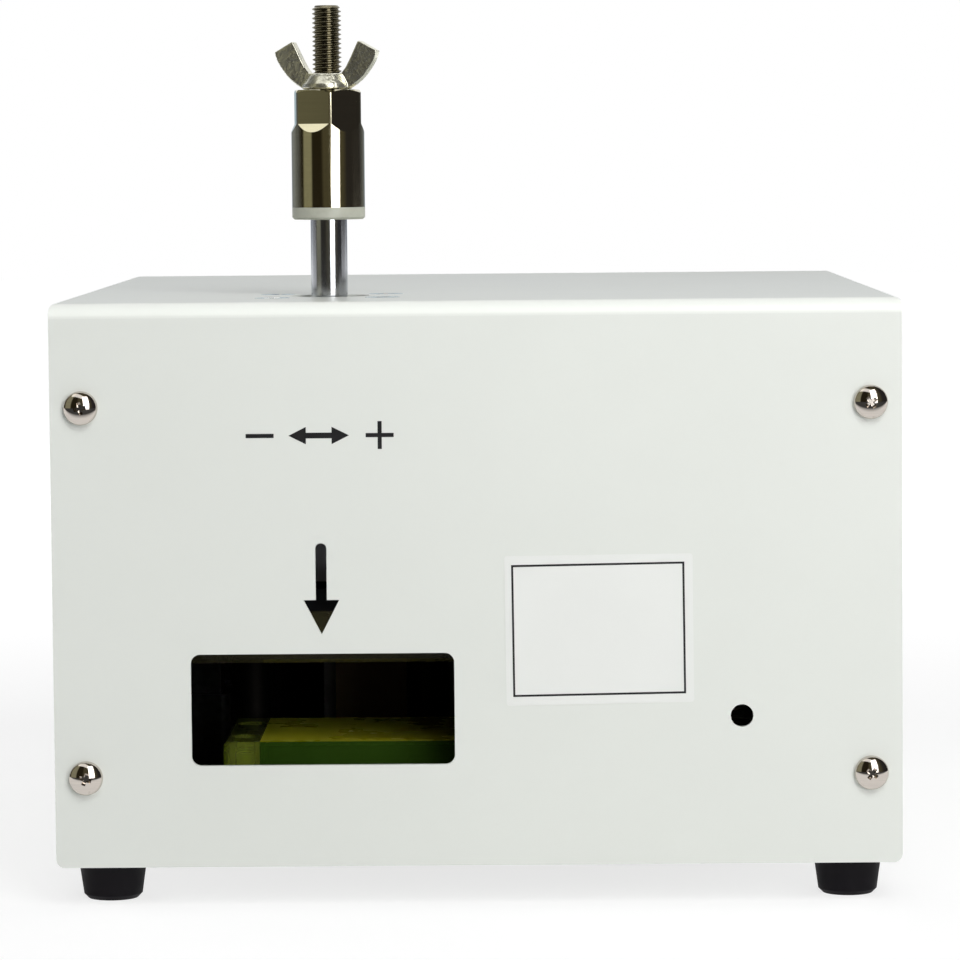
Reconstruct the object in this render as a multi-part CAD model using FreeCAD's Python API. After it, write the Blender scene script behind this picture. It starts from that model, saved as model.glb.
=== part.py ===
"""Bench wire straightener: two urethane pads squeeze a wire and rub it straight.

An air cylinder hung from the top of the case presses the upper pad down on guide posts.
A geared motor drives the lower pad sideways on rails through a pinion and a rack.
A threaded stop sleeve on the upper end of the piston rod sets how far the pads close.

Millimetres. X to the right, the front panel faces -Y, Z up, the feet stand on z = 0.
"""
import FreeCAD, Part
import math
import os

os.makedirs("parts", exist_ok=True)
V = FreeCAD.Vector

# ---- Case ------------------------------------------------------------------------------------
BODY_W = 225.0
BODY_H = 150.0
BODY_D = 270.0
FOOT_H = 11.0
SHEET_T = 1.5
TRAY_T = 2.0
TRAY_W = BODY_W - 1.0
FRONT_BEND_R = 4.0
REAR_BEND_R = 3.0
REAR_LIP_H = 14.0
COVER_TOP_CORNER_R = 1.7
COVER_LOW_CORNER_R = 2.4
FLANGE_W = 13.0

# ---- Front panel features, from the panel's lower left corner --------------------------------
WINDOW_W = 69.85
WINDOW_H = 29.7
WINDOW_U = 71.4
WINDOW_V = 41.95
WINDOW_R = 2.5
ARROW_U = 71.3
ARROW_STEM_W = 2.95
ARROW_STEM_TOP = 86.2
ARROW_HEAD_TOP = 71.1
ARROW_TIP = 61.9
ARROW_HEAD_W = 9.5
KEY_HOLE_U = 182.5
KEY_HOLE_V = 39.5
KEY_HOLE_R = 3.0
FRONT_SCREW_X = 104.2
FRONT_SCREW_V = (24.1, 122.5)

# ---- Screws ----------------------------------------------------------------------------------
SCREW_GAP = 0.05
M5_R = 2.5
M4_R = 2.0
M3_R = 1.5
PAN_HEAD_R = 4.5
PAN_HEAD_H = 3.5

# ---- Feet ------------------------------------------------------------------------------------
FOOT_TOP_R = 9.3
FOOT_LOW_R = 7.9
FOOT_X = 99.2
FOOT_INSET = 20.0

# ---- Press: cylinder, rod, guide posts -------------------------------------------------------
ROD_X = -40.3
ROD_DEPTH = 52.0
ROD_R = 5.0
THREAD_R = 4.0
ROD_SHOULDER_Z = 196.0
ROD_TOP_Z = 240.4
CYL_SIZE = 40.0
CYL_BORE_R = 16.0
CYL_BOTTOM_Z = 84.0
END_COVER_H = 12.0
TIE_OFFSET = 15.0
PISTON_H = 12.0
GLAND_R = 7.5
RUN_GAP = 0.04
ROD_HOLE_R = 11.0
POST_R = 6.0
POST_DEPTH = 95.0
POST_X = (ROD_X - 25.0, ROD_X + 25.0)
POST_TOP_Z = 138.0
TIE_BAR_H = 10.0
BUSH_R = 9.0

# ---- Stop on the threaded end of the rod -----------------------------------------------------
BUMPER_LOW_Z = 182.0
BUMPER_H = 3.3
SLEEVE_R = 10.0
SLEEVE_TOP_Z = 217.4
HEX_LOW_Z = 208.1
HEX_FLATS = 17.7
HEX_RUNOUT = 2.3
SLEEVE_CHAMFER_R = 8.7
HEX_TURN = 36.0
FREE_GAP = 0.3
WING_T = 2.5
WING_TURN = -22.0

# ---- Pads and table --------------------------------------------------------------------------
PAD_L = 80.0
PAD_W = 54.0
PAD_T = 14.0
PAD_FRONT_DEPTH = 25.0
LOWER_PAD_TOP_Z = 41.0
UPPER_PAD_LOW_Z = 62.6
LOWER_PAD_X = -29.5
PAD_SCREW_END = 5.7
PAD_SCREW_SPREAD = 14.0
PLATE_T = 6.0
PLATE_BACK_DEPTH = 109.0
TRAVEL = 25.0
RAIL_DEPTHS = {"front": 36.0, "rear": 68.0}
RAIL_W = 7.0
RAIL_H = 5.0
RAIL_X = (-102.0, 22.0)
RAIL_SCREW_X = (-94.0, 14.0)
BLOCK_L = 22.5
BLOCK_W = 17.0
BLOCK_X = (-55.0, -2.0)
TABLE_UNDER_Z = 21.0

# ---- Drive -----------------------------------------------------------------------------------
GEAR_MODULE = 1.0
PINION_TEETH = 24
PRESSURE_ANGLE = math.radians(20.0)
BACKLASH = 0.12
RACK_W = 12.0
RACK_X = (60.0, 104.0)
RACK_DEPTH = 52.0
TONGUE_W = 16.0
TONGUE_END_X = 106.0
SHAFT_R = 4.0
GEARHEAD_SIZE = 60.0
GEARHEAD_L = 32.0
MOTOR_L = 72.0
BRACKET_T = 4.0
BRACKET_DEPTH = 66.0
SHAFT_OFFSET = 10.0
PINION_DEPTHS = (45.0, 59.0)
HUB_END_DEPTH = 65.0
CAPACITOR_X = (60.0, 98.0)
CAPACITOR_Y = (58.0, 92.0)

# ---- Valve and control board -----------------------------------------------------------------
VALVE_X = -86.0
VALVE_Y = (30.0, 90.0)
VALVE_H = 28.0
VALVE_PORT_Y = {"supply": 76.0, "cylinder": 50.0}
VALVE_SCREW_Y = (36.0, 64.0)
OVERRIDE_Y = 86.0
OVERRIDE_R = 2.0
OVERRIDE_TRAVEL = 1.0
TUBE_R = 3.0
BOARD_X = (-55.0, 33.0)
BOARD_Y = (22.0, 104.0)
BOARD_RISE = 10.0
BOARD_T = 1.6

# ---- Rear fittings ---------------------------------------------------------------------------
REAR_SCREW_Z = 26.0
FITTING_REACH = 16.0
AIR_X, AIR_Z = VALVE_X, 100.0
AIR_SEAT = 6.0
COLLAR_GAP = 1.5
INLET_X, INLET_Z = 70.0, 52.0
INLET_W, INLET_H = 27.2, 31.2
INLET_FLANGE_T = 3.0
INLET_SCREW_OFFSET = 20.0
SWITCH_X, SWITCH_Z = 30.0, 52.0
ROCKER_TILT = 7.0
SOCKET_X, SOCKET_Z = -4.0, 52.0

# ---- Worked-out places -----------------------------------------------------------------------
Z_BOTTOM = FOOT_H
Z_FLOOR = Z_BOTTOM + TRAY_T
Z_TOP = FOOT_H + BODY_H
Z_UNDER = Z_TOP - SHEET_T
Y_FRONT = (PAN_HEAD_H + SHEET_T - BODY_D - FITTING_REACH) / 2
Y_REAR = Y_FRONT + BODY_D
Y_PANEL_OUT = Y_REAR - SHEET_T
Y_PANEL_IN = Y_PANEL_OUT - SHEET_T
Y_TRAY_FRONT = Y_FRONT + SHEET_T
ROD_Y = Y_FRONT + ROD_DEPTH
POST_Y = Y_FRONT + POST_DEPTH
BARREL_LOW_Z = CYL_BOTTOM_Z + END_COVER_H
BARREL_TOP_Z = Z_UNDER - END_COVER_H
PLATE_LOW_Z = UPPER_PAD_LOW_Z + PAD_T
PLATE_TOP_Z = PLATE_LOW_Z + PLATE_T
PISTON_TOP_Z = BARREL_TOP_Z - 0.5
PISTON_LOW_Z = PISTON_TOP_Z - PISTON_H
TABLE_TOP_Z = LOWER_PAD_TOP_Z - PAD_T
PAD_Y = Y_FRONT + PAD_FRONT_DEPTH + PAD_W / 2
PITCH_R = GEAR_MODULE * PINION_TEETH / 2
PINION_X = KEY_HOLE_U - BODY_W / 2
PINION_Z = Z_BOTTOM + KEY_HOLE_V
RACK_PITCH_Z = PINION_Z - PITCH_R
RACK_Y = Y_FRONT + RACK_DEPTH
BRACKET_Y = Y_FRONT + BRACKET_DEPTH
GEARHEAD_Y = BRACKET_Y + BRACKET_T
GEARHEAD_Z = PINION_Z + SHAFT_OFFSET
PINION_Y = tuple(Y_FRONT + depth for depth in PINION_DEPTHS)
HUB_END_Y = Y_FRONT + HUB_END_DEPTH
SENSOR_X = (TONGUE_END_X - TRAVEL + 3.0, TONGUE_END_X - 6.0)
SEAL_Z = (PISTON_LOW_Z + 4.5, PISTON_LOW_Z + 7.5)
UPPER_PORT_Z = BARREL_TOP_Z + 5.0
VALVE_TOP_Z = Z_FLOOR + VALVE_H
BOARD_Z = Z_FLOOR + BOARD_RISE
LIP_SCREW_Z = Z_TOP - 8.0
INLET_MID_Z = INLET_Z - 4.0
DRAWER_Z = INLET_Z - 14.7
SWITCH_PIVOT_Y = Y_PANEL_OUT - 1.5
FEET = [(x, y) for x in (-FOOT_X, FOOT_X) for y in (Y_FRONT + FOOT_INSET, Y_REAR - FOOT_INSET)]


# ---- Basic shapes ----------------------------------------------------------------------------
def box(x0, x1, y0, y1, z0, z1):
    return Part.makeBox(x1 - x0, y1 - y0, z1 - z0, V(x0, y0, z0))


def post(x, y, z0, z1, r):
    """Cylinder standing along Z."""
    return Part.makeCylinder(r, z1 - z0, V(x, y, z0), V(0, 0, 1))


def bar_y(x, z, y0, y1, r):
    """Cylinder lying along Y."""
    return Part.makeCylinder(r, y1 - y0, V(x, y0, z), V(0, 1, 0))


def cone_z(x, y, z0, z1, r0, r1):
    return Part.makeCone(r0, r1, z1 - z0, V(x, y, z0), V(0, 0, 1))


def join(shapes):
    """Fuse into one solid with no seams left between flush faces."""
    first, rest = shapes[0], shapes[1:]
    return first.fuse(rest).removeSplitter() if rest else first


def cut(shape, tools):
    return shape.cut(Part.makeCompound(tools)) if len(tools) > 1 else shape.cut(tools[0])


def cut_each(shape, tools):
    """Cut one by one, for tools that cross each other."""
    for tool in tools:
        shape = shape.cut(tool)
    return shape


def loop(points):
    """Flat face from (u, v) corners. A pair of points is an arc: its middle and its end."""
    start = V(points[0][0], points[0][1], 0)
    here = start
    edges = []
    for step in points[1:] + [points[0]]:
        if isinstance(step[0], tuple):
            middle, end = V(*step[0], 0), V(*step[1], 0)
            edges.append(Part.Arc(here, middle, end).toShape())
        else:
            end = V(*step, 0)
            if end.distanceToPoint(here) > 1e-6:
                edges.append(Part.LineSegment(here, end).toShape())
        here = end
    return Part.Face(Part.Wire(edges))


def rounded(w, h, r):
    """Flat rounded rectangle centred on the origin."""
    a, b = w / 2, h / 2
    k = r * (1 - math.sqrt(0.5))
    return loop([
        (-a + r, -b), (a - r, -b), ((a - k, -b + k), (a, -b + r)),
        (a, b - r), ((a - k, b - k), (a - r, b)),
        (-a + r, b), ((-a + k, b - k), (-a, b - r)),
        (-a, -b + r), ((-a + k, -b + k), (-a + r, -b)),
    ])


def prism_z(face, x, y, z0, z1):
    """Face (u, v) set in X and Y, pulled along Z."""
    solid = face.extrude(V(0, 0, z1 - z0))
    solid.translate(V(x, y, z0))
    return solid


def prism_y(face, x, z, y0, y1):
    """Face (u, v) set in X and Z, pulled along Y."""
    flat = face.copy()
    flat.rotate(V(0, 0, 0), V(1, 0, 0), 90)
    solid = flat.extrude(V(0, y1 - y0, 0))
    solid.translate(V(x, y0, z))
    return solid


def prism_x(face, x0, x1):
    """Face (u, v) set in Y and Z, pulled along X."""
    flat = face.copy()
    flat.rotate(V(0, 0, 0), V(1, 0, 0), 90)
    flat.rotate(V(0, 0, 0), V(0, 0, 1), 90)
    solid = flat.extrude(V(x1 - x0, 0, 0))
    solid.translate(V(x0, 0, 0))
    return solid


def turned(points, x, y):
    """Solid of revolution about a vertical axis, from (radius, z) corners."""
    face = loop(points)
    face.rotate(V(0, 0, 0), V(1, 0, 0), 90)
    solid = face.revolve(V(0, 0, 0), V(0, 0, 1), 360)
    solid.translate(V(x, y, 0))
    return solid


def put(shape, where, way=(0, 0, 1)):
    """Copy of a shape made at the origin along +Z, set at a place and pointed a way."""
    placed = shape.copy()
    placed.Placement = FreeCAD.Placement(V(*where), FreeCAD.Rotation(V(0, 0, 1), V(*way)))
    return placed


def hexagon(flats, z0, z1):
    corners = []
    for i in range(6):
        angle = math.radians(60 * i + 30)
        corners.append((flats / math.sqrt(3) * math.cos(angle), flats / math.sqrt(3) * math.sin(angle)))
    return prism_z(loop(corners), 0, 0, z0, z1)


# ---- Fasteners, made with the underside of the head at z = 0 and the shank downwards ---------
def pan_screw(head_r, head_h, shank_r, length):
    """Low domed head."""
    rim = head_h * 0.3
    rise = head_h - rim
    dome_r = (head_r ** 2 + rise ** 2) / (2 * rise)
    half_angle = math.asin(head_r / dome_r) / 2
    shoulder = (dome_r * math.sin(half_angle), head_h - dome_r * (1 - math.cos(half_angle)))
    return turned([
        (0, -length), (shank_r, -length), (shank_r, 0), (head_r, 0), (head_r, rim),
        (shoulder, (0, head_h)),
    ], 0, 0)


def cap_screw(head_r, head_h, shank_r, length):
    """Plain cylinder head."""
    return join([post(0, 0, 0, head_h, head_r), post(0, 0, -length, 0, shank_r)])


def hex_screw(flats, head_h, shank_r, length):
    return join([hexagon(flats, 0, head_h), post(0, 0, -length, 0, shank_r)])


def flat_screw(head_r, shank_r, length):
    """Countersunk head, flush at z = 0."""
    head = cone_z(0, 0, shank_r - head_r, 0, shank_r, head_r)
    return join([head, post(0, 0, -length, shank_r - head_r, shank_r)])


# ---- Screw places that more than one piece needs ---------------------------------------------
def pad_screw_places(centre_x):
    reach = PAD_L / 2 - PAD_SCREW_END
    return [(centre_x + sx * reach, PAD_Y + sy * PAD_SCREW_SPREAD) for sx in (-1, 1) for sy in (-1, 1)]


def tie_places():
    return [(ROD_X + sx * TIE_OFFSET, ROD_Y + sy * TIE_OFFSET) for sx in (-1, 1) for sy in (-1, 1)]


def rail_y(side):
    return Y_FRONT + RAIL_DEPTHS[side]


def rail_screw_places():
    return [(x, rail_y(side)) for side in RAIL_DEPTHS for x in RAIL_SCREW_X]


def post_places():
    return [(x, POST_Y) for x in POST_X]


def bracket_foot_places():
    return [(x, GEARHEAD_Y + 20) for x in (PINION_X - 24, PINION_X + 24)]


def gearhead_screw_places():
    half = GEARHEAD_SIZE / 2 - 5
    return [(PINION_X + sx * half, GEARHEAD_Z + sz * half) for sx in (-1, 1) for sz in (-1, 1)]


def block_screw_places():
    return [(x, rail_y(side)) for side in RAIL_DEPTHS for x in BLOCK_X]


def board_support_places():
    return [(x, y) for x in (BOARD_X[0] + 5, BOARD_X[1] - 5) for y in (BOARD_Y[0] + 5, BOARD_Y[1] - 5)]


def floor_holes():
    """Every hole through the floor of the tray: place and radius."""
    holes = [(x, y, M4_R + SCREW_GAP) for x, y in FEET]
    holes += [(x, y, 1.25 + SCREW_GAP) for x, y in rail_screw_places()]
    holes += [(x, y, M4_R + SCREW_GAP) for x, y in bracket_foot_places()]
    holes += [(x, y, M5_R + SCREW_GAP) for x, y in post_places()]
    return holes + [(VALVE_X, y, M3_R + SCREW_GAP) for y in VALVE_SCREW_Y]


# ---- Case ------------------------------------------------------------------------------------
def tray_profile():
    """U section in X and Z with a bend at each lower edge."""
    w, t = TRAY_W / 2, TRAY_T
    outer_r, inner_r = 3.0, 1.0
    k_out, k_in = outer_r * (1 - math.sqrt(0.5)), inner_r * (1 - math.sqrt(0.5))
    low, high = Z_BOTTOM, Z_UNDER
    return loop([
        (-w, high), (-w, low + outer_r), ((-w + k_out, low + k_out), (-w + outer_r, low)),
        (w - outer_r, low), ((w - k_out, low + k_out), (w, low + outer_r)),
        (w, high), (w - t, high),
        (w - t, low + t + inner_r), ((w - t - k_in, low + t + k_in), (w - t - inner_r, low + t)),
        (-w + t + inner_r, low + t), ((-w + t + k_in, low + t + k_in), (-w + t, low + t + inner_r)),
        (-w + t, high),
    ])


def vent_slots():
    """Rows of upright slots through both sides, beside the motor and the board."""
    slots = []
    for i in range(7):
        y = 12.0 * i - 12.0
        slots.append(box(-BODY_W / 2 - 1, BODY_W / 2 + 1, y - 1.6, y + 1.6, 96.0, 130.0))
    return slots


def chassis_tray():
    inner = TRAY_W / 2 - TRAY_T
    front, back = Y_TRAY_FRONT, Y_PANEL_IN
    parts = [prism_y(tray_profile(), 0, 0, front, back)]
    for side in (-1, 1):
        x0, x1 = sorted((side * inner, side * (inner - FLANGE_W)))
        parts.append(box(x0, x1, front, front + TRAY_T, Z_FLOOR, Z_TOP - 6))
        parts.append(box(x0, x1, back - TRAY_T, back, Z_FLOOR, Z_UNDER - 2))
        x0, x1 = sorted((side * inner, side * (inner - 10)))
        parts.append(box(x0, x1, front + 14, back - 10, Z_UNDER - TRAY_T, Z_UNDER))
    for y0 in (front, back - TRAY_T):
        parts.append(box(-inner, inner, y0, y0 + TRAY_T, Z_FLOOR, Z_FLOOR + 11))
    tray = join(parts)
    holes = [post(x, y, Z_BOTTOM - 1, Z_FLOOR + 1, r) for x, y, r in floor_holes()]
    for x in (-FRONT_SCREW_X, FRONT_SCREW_X):
        for v in FRONT_SCREW_V:
            holes.append(bar_y(x, Z_BOTTOM + v, front - 1, front + TRAY_T + 1, M5_R + SCREW_GAP))
        for z in (REAR_SCREW_Z, LIP_SCREW_Z):
            holes.append(bar_y(x, z, back - TRAY_T - 1, back + 1, M4_R + SCREW_GAP))
    holes += vent_slots()
    for side in (-1, 1):
        x0, x1 = sorted((side * (inner - 1), side * (inner + 3)))
        holes.append(box(x0, x1, front - 1, front + 3.2, Z_TOP - 5, Z_TOP))
    return cut(tray, holes)


def cover_profile():
    """Section in Y and Z of the bent sheet: front, top, and a short lip down the back."""
    t, ro, rr = SHEET_T, FRONT_BEND_R, REAR_BEND_R
    ri, rj = ro - t, rr - t
    k = 1 - math.sqrt(0.5)
    y0, y1, z0, z1 = Y_FRONT, Y_REAR, Z_BOTTOM, Z_TOP
    return loop([
        (y0, z0), (y0 + t, z0), (y0 + t, z1 - ro),
        ((y0 + t + ri * k, z1 - t - ri * k), (y0 + ro, z1 - t)),
        (y1 - rr, z1 - t), ((y1 - t - rj * k, z1 - t - rj * k), (y1 - t, z1 - rr)),
        (y1 - t, z1 - REAR_LIP_H), (y1, z1 - REAR_LIP_H),
        (y1, z1 - rr), ((y1 - rr * k, z1 - rr * k), (y1 - rr, z1)),
        (y0 + ro, z1), ((y0 + ro * k, z1 - ro * k), (y0, z1 - ro)),
    ])


def cover_outline():
    """Front view of the cover: softened corners, rounder at the bottom."""
    a, h = BODY_W / 2, BODY_H
    r, s = COVER_LOW_CORNER_R, COVER_TOP_CORNER_R
    k = 1 - math.sqrt(0.5)
    return loop([
        (-a + r, 0), (a - r, 0), ((a - r * k, r * k), (a, r)),
        (a, h - s), ((a - s * k, h - s * k), (a - s, h)),
        (-a + s, h), ((-a + s * k, h - s * k), (-a, h - s)),
        (-a, r), ((-a + r * k, r * k), (-a + r, 0)),
    ])


def arrow_face():
    """Downward arrow with a round-ended stem, in panel u and v."""
    half, wing = ARROW_STEM_W / 2, ARROW_HEAD_W / 2
    return loop([
        (ARROW_U, ARROW_TIP), (ARROW_U + wing, ARROW_HEAD_TOP), (ARROW_U + half, ARROW_HEAD_TOP),
        (ARROW_U + half, ARROW_STEM_TOP - half),
        ((ARROW_U, ARROW_STEM_TOP), (ARROW_U - half, ARROW_STEM_TOP - half)),
        (ARROW_U - half, ARROW_HEAD_TOP), (ARROW_U - wing, ARROW_HEAD_TOP),
    ])


def front_top_cover():
    sheet = prism_x(cover_profile(), -BODY_W / 2, BODY_W / 2)
    sheet = sheet.common(prism_y(cover_outline(), 0, Z_BOTTOM, Y_FRONT - 1, Y_REAR + 1))
    y0, y1 = Y_FRONT - 1, Y_FRONT + SHEET_T + 1
    left = -BODY_W / 2
    window = prism_y(rounded(WINDOW_W, WINDOW_H, WINDOW_R), left + WINDOW_U, Z_BOTTOM + WINDOW_V, y0, y1)
    holes = [window, prism_y(arrow_face(), left, Z_BOTTOM, y0, y1)]
    holes.append(bar_y(PINION_X, PINION_Z, y0, y1, KEY_HOLE_R))
    for x in (-FRONT_SCREW_X, FRONT_SCREW_X):
        holes += [bar_y(x, Z_BOTTOM + v, y0, y1, M5_R + SCREW_GAP) for v in FRONT_SCREW_V]
        holes.append(bar_y(x, LIP_SCREW_Z, Y_REAR - 2, Y_REAR + 1, M4_R + SCREW_GAP))
    holes.append(post(ROD_X, ROD_Y, Z_UNDER - 1, Z_TOP + 1, ROD_HOLE_R))
    holes += [countersink(x, y) for x, y in tie_places()]
    return cut(sheet, holes)


def countersink(x, y):
    """Cone for a flush M5 screw, through the sheet and on into the cylinder's end cover."""
    reach = M5_R + SCREW_GAP
    return join([
        cone_z(x, y, Z_TOP - 2.5, Z_TOP, reach, reach + 2.5),
        post(x, y, Z_TOP - 9, Z_TOP - 2.5, reach),
    ])


def rear_panel():
    half, top = TRAY_W / 2, Z_UNDER - 2
    middle = (Z_BOTTOM + 1 + top) / 2
    plate = rounded(2 * half, top - Z_BOTTOM - 1, 1.5)
    panel = prism_y(plate, 0, middle, Y_PANEL_IN, Y_PANEL_OUT)
    y0, y1 = Y_PANEL_IN - 1, Y_PANEL_OUT + 1
    holes = []
    for x in (-FRONT_SCREW_X, FRONT_SCREW_X):
        holes += [bar_y(x, z, y0, y1, M4_R + SCREW_GAP) for z in (REAR_SCREW_Z, LIP_SCREW_Z)]
    holes += [bar_y(x, INLET_MID_Z, y0, y1, M3_R + SCREW_GAP) for x in inlet_screw_x()]
    holes.append(prism_y(rounded(INLET_W + 0.2, INLET_H + 0.2, 2.0), INLET_X, INLET_MID_Z, y0, y1))
    holes.append(prism_y(rounded(13.2, 19.4, 1.0), SWITCH_X, SWITCH_Z, y0, y1))
    holes.append(bar_y(SOCKET_X, SOCKET_Z, y0, y1, 8.0 + SCREW_GAP))
    holes.append(bar_y(AIR_X, AIR_Z, y0, y1, 6.0 + SCREW_GAP))
    return cut(panel, holes)


def rubber_foot(x, y):
    """Tapered foot with a rounded tread and a pocket for its screw."""
    foot = turned([
        (M4_R + SCREW_GAP, 6.0), (4.6, 6.0), (4.6, 0.0), (FOOT_LOW_R - 1.2, 0.0),
        (FOOT_LOW_R, 1.2), (FOOT_TOP_R, FOOT_H),
        (M4_R + SCREW_GAP, FOOT_H),
    ], x, y)
    return foot


def foot_screws():
    screw = pan_screw(4.0, 2.6, M4_R, 11.0)
    return [put(screw, (x, y, 6.0), (0, 0, -1)) for x, y in FEET]


def cover_front_screws():
    screw = pan_screw(PAN_HEAD_R, PAN_HEAD_H, M5_R, 10.0)
    spots = [(x, v) for x in (-FRONT_SCREW_X, FRONT_SCREW_X) for v in FRONT_SCREW_V]
    return [put(screw, (x, Y_FRONT, Z_BOTTOM + v), (0, -1, 0)) for x, v in spots]


def rear_panel_screws():
    screw = pan_screw(3.6, 2.6, M4_R, 9.0)
    small = pan_screw(2.6, 1.9, M3_R, 9.0)
    screws = []
    for x in (-FRONT_SCREW_X, FRONT_SCREW_X):
        screws.append(put(screw, (x, Y_PANEL_OUT, REAR_SCREW_Z), (0, 1, 0)))
        screws.append(put(screw, (x, Y_REAR, LIP_SCREW_Z), (0, 1, 0)))
    for x in inlet_screw_x():
        screws.append(put(small, (x, Y_PANEL_OUT + INLET_FLANGE_T, INLET_MID_Z), (0, 1, 0)))
    return screws


# ---- Press -----------------------------------------------------------------------------------
def cylinder_section(bore_r):
    """Square extrusion with soft corners, seen from above, with the screw channels."""
    block = rounded(CYL_SIZE, CYL_SIZE, 4.0)
    channels = [post(x - ROD_X, y - ROD_Y, -1, 1, M5_R + SCREW_GAP) for x, y in tie_places()]
    centre = post(0, 0, -1, 1, bore_r)
    return block.cut(Part.makeCompound(channels + [centre]))


def cylinder_barrel():
    """Extruded barrel: bore, four screw channels and a switch groove down each side."""
    barrel = prism_z(cylinder_section(CYL_BORE_R), ROD_X, ROD_Y, BARREL_LOW_Z, BARREL_TOP_Z)
    grooves = []
    half = CYL_SIZE / 2
    for dx, dy in ((1, 0), (-1, 0), (0, 1), (0, -1)):
        for shift in (-5.5, 5.5):
            cx = ROD_X + dx * half + (shift if dx == 0 else 0)
            cy = ROD_Y + dy * half + (shift if dy == 0 else 0)
            grooves.append(box(cx - 1.4, cx + 1.4, cy - 1.4, cy + 1.4, BARREL_LOW_Z - 1, BARREL_TOP_Z + 1))
    return cut(barrel, grooves)


def cylinder_upper_cover():
    cover = prism_z(cylinder_section(GLAND_R + 0.02), ROD_X, ROD_Y, BARREL_TOP_Z, Z_UNDER)
    rear = ROD_Y + CYL_SIZE / 2
    holes = [countersink(x, y) for x, y in tie_places()]
    holes.append(bar_y(ROD_X, UPPER_PORT_Z, rear - 8, rear + 1, 4.9))
    holes.append(post(ROD_X, rear - 6, BARREL_TOP_Z - 1, UPPER_PORT_Z, 1.5))
    return cut_each(cover, holes)


def cylinder_lower_cover():
    cover = prism_z(cylinder_section(GLAND_R + 0.02), ROD_X, ROD_Y, CYL_BOTTOM_Z, BARREL_LOW_Z)
    rear = ROD_Y + CYL_SIZE / 2
    holes = [post(x, y, CYL_BOTTOM_Z - 1, CYL_BOTTOM_Z + 5.5, 4.45) for x, y in tie_places()]
    holes.append(bar_y(ROD_X, CYL_BOTTOM_Z + 6, rear - 10, rear + 1, 1.6))
    return cut_each(cover, holes)


def cylinder_screws():
    """Four long screws that hold the cylinder together and four that hang it from the cover."""
    long_screw = cap_screw(4.2, 5.0, M5_R, BARREL_TOP_Z + 4.5 - CYL_BOTTOM_Z - 5.5)
    hang_screw = flat_screw(5.0, M5_R, 7.0)
    screws = [put(long_screw, (x, y, CYL_BOTTOM_Z + 5.5), (0, 0, -1)) for x, y in tie_places()]
    return screws + [put(hang_screw, (x, y, Z_TOP)) for x, y in tie_places()]


def ring(r_in, r_out, z0, z1, x=ROD_X, y=ROD_Y):
    return post(x, y, z0, z1, r_out).cut(post(x, y, z0 - 1, z1 + 1, r_in))


def rod_glands():
    """Bronze bush in each end cover."""
    return [
        ring(ROD_R + RUN_GAP, GLAND_R, CYL_BOTTOM_Z, CYL_BOTTOM_Z + 11),
        ring(ROD_R + RUN_GAP, GLAND_R, BARREL_TOP_Z + 1, Z_UNDER),
    ]


def piston():
    disc = ring(ROD_R + 0.02, CYL_BORE_R - 0.05, PISTON_LOW_Z, PISTON_TOP_Z)
    return disc.cut(ring(13.6, CYL_BORE_R + 1, SEAL_Z[0], SEAL_Z[1]))


def piston_seal():
    return ring(13.62, CYL_BORE_R - 0.03, SEAL_Z[0] + 0.02, SEAL_Z[1] - 0.02)


def piston_rod():
    """Rod through both ends: a screw hole at the bottom, a shoulder and a thread at the top."""
    rod = turned([
        (0, PLATE_TOP_Z), (ROD_R, PLATE_TOP_Z), (ROD_R, ROD_SHOULDER_Z - 1.0),
        (THREAD_R, ROD_SHOULDER_Z), (THREAD_R, ROD_TOP_Z - 0.9), (THREAD_R - 0.9, ROD_TOP_Z),
        (0, ROD_TOP_Z),
    ], ROD_X, ROD_Y)
    return rod.cut(post(ROD_X, ROD_Y, PLATE_TOP_Z - 1, PLATE_TOP_Z + 14, 3.0 + SCREW_GAP))


def return_spring():
    """Square-wire spring under the piston, its coil drawn as short chords."""
    wire_t, coil_r, turns, chords = 2.4, 12.0, 4.5, 14
    low, high = BARREL_LOW_Z + wire_t / 2, PISTON_LOW_Z - wire_t / 2
    points = []
    for i in range(int(turns * chords) + 1):
        angle = 2 * math.pi * i / chords
        height = low + (high - low) * i / (turns * chords)
        points.append(V(ROD_X + coil_r * math.cos(angle), ROD_Y + coil_r * math.sin(angle), height))
    half = wire_t / 2 - 0.05
    corners = [(-half, -half), (half, -half), (half, half), (-half, half), (-half, -half)]
    section = Part.makePolygon([points[0] + V(u, 0, v) for u, v in corners])
    sweep = Part.BRepOffsetAPI.MakePipeShell(Part.makePolygon(points))
    sweep.setTransitionMode(1)
    sweep.setAuxiliarySpine(Part.makePolygon([V(ROD_X, ROD_Y, low), V(ROD_X, ROD_Y, high)]), True, 0)
    sweep.add(section)
    sweep.build()
    sweep.makeSolid()
    return sweep.shape()


def rod_end_screw():
    return put(flat_screw(6.0, 3.0, 19.0), (ROD_X, ROD_Y, PLATE_LOW_Z), (0, 0, -1))


def press_plate():
    width, length = PLATE_BACK_DEPTH - PAD_FRONT_DEPTH, PAD_L + 4.0
    y_mid = Y_FRONT + (PLATE_BACK_DEPTH + PAD_FRONT_DEPTH) / 2
    plate = prism_z(rounded(length, width, 4.0), ROD_X, y_mid, PLATE_LOW_Z, PLATE_TOP_Z)
    low, high = PLATE_LOW_Z - 1, PLATE_TOP_Z + 1
    holes = [post(x, POST_Y, low, high, BUSH_R + 0.02) for x in POST_X]
    holes += [post(x, y, low, high, M4_R + SCREW_GAP) for x, y in pad_screw_places(ROD_X)]
    holes.append(cone_z(ROD_X, ROD_Y, PLATE_LOW_Z, PLATE_LOW_Z + 3, 6.05, 3.05))
    holes.append(post(ROD_X, ROD_Y, PLATE_LOW_Z, high, 3.05))
    return cut_each(plate, holes)


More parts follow.
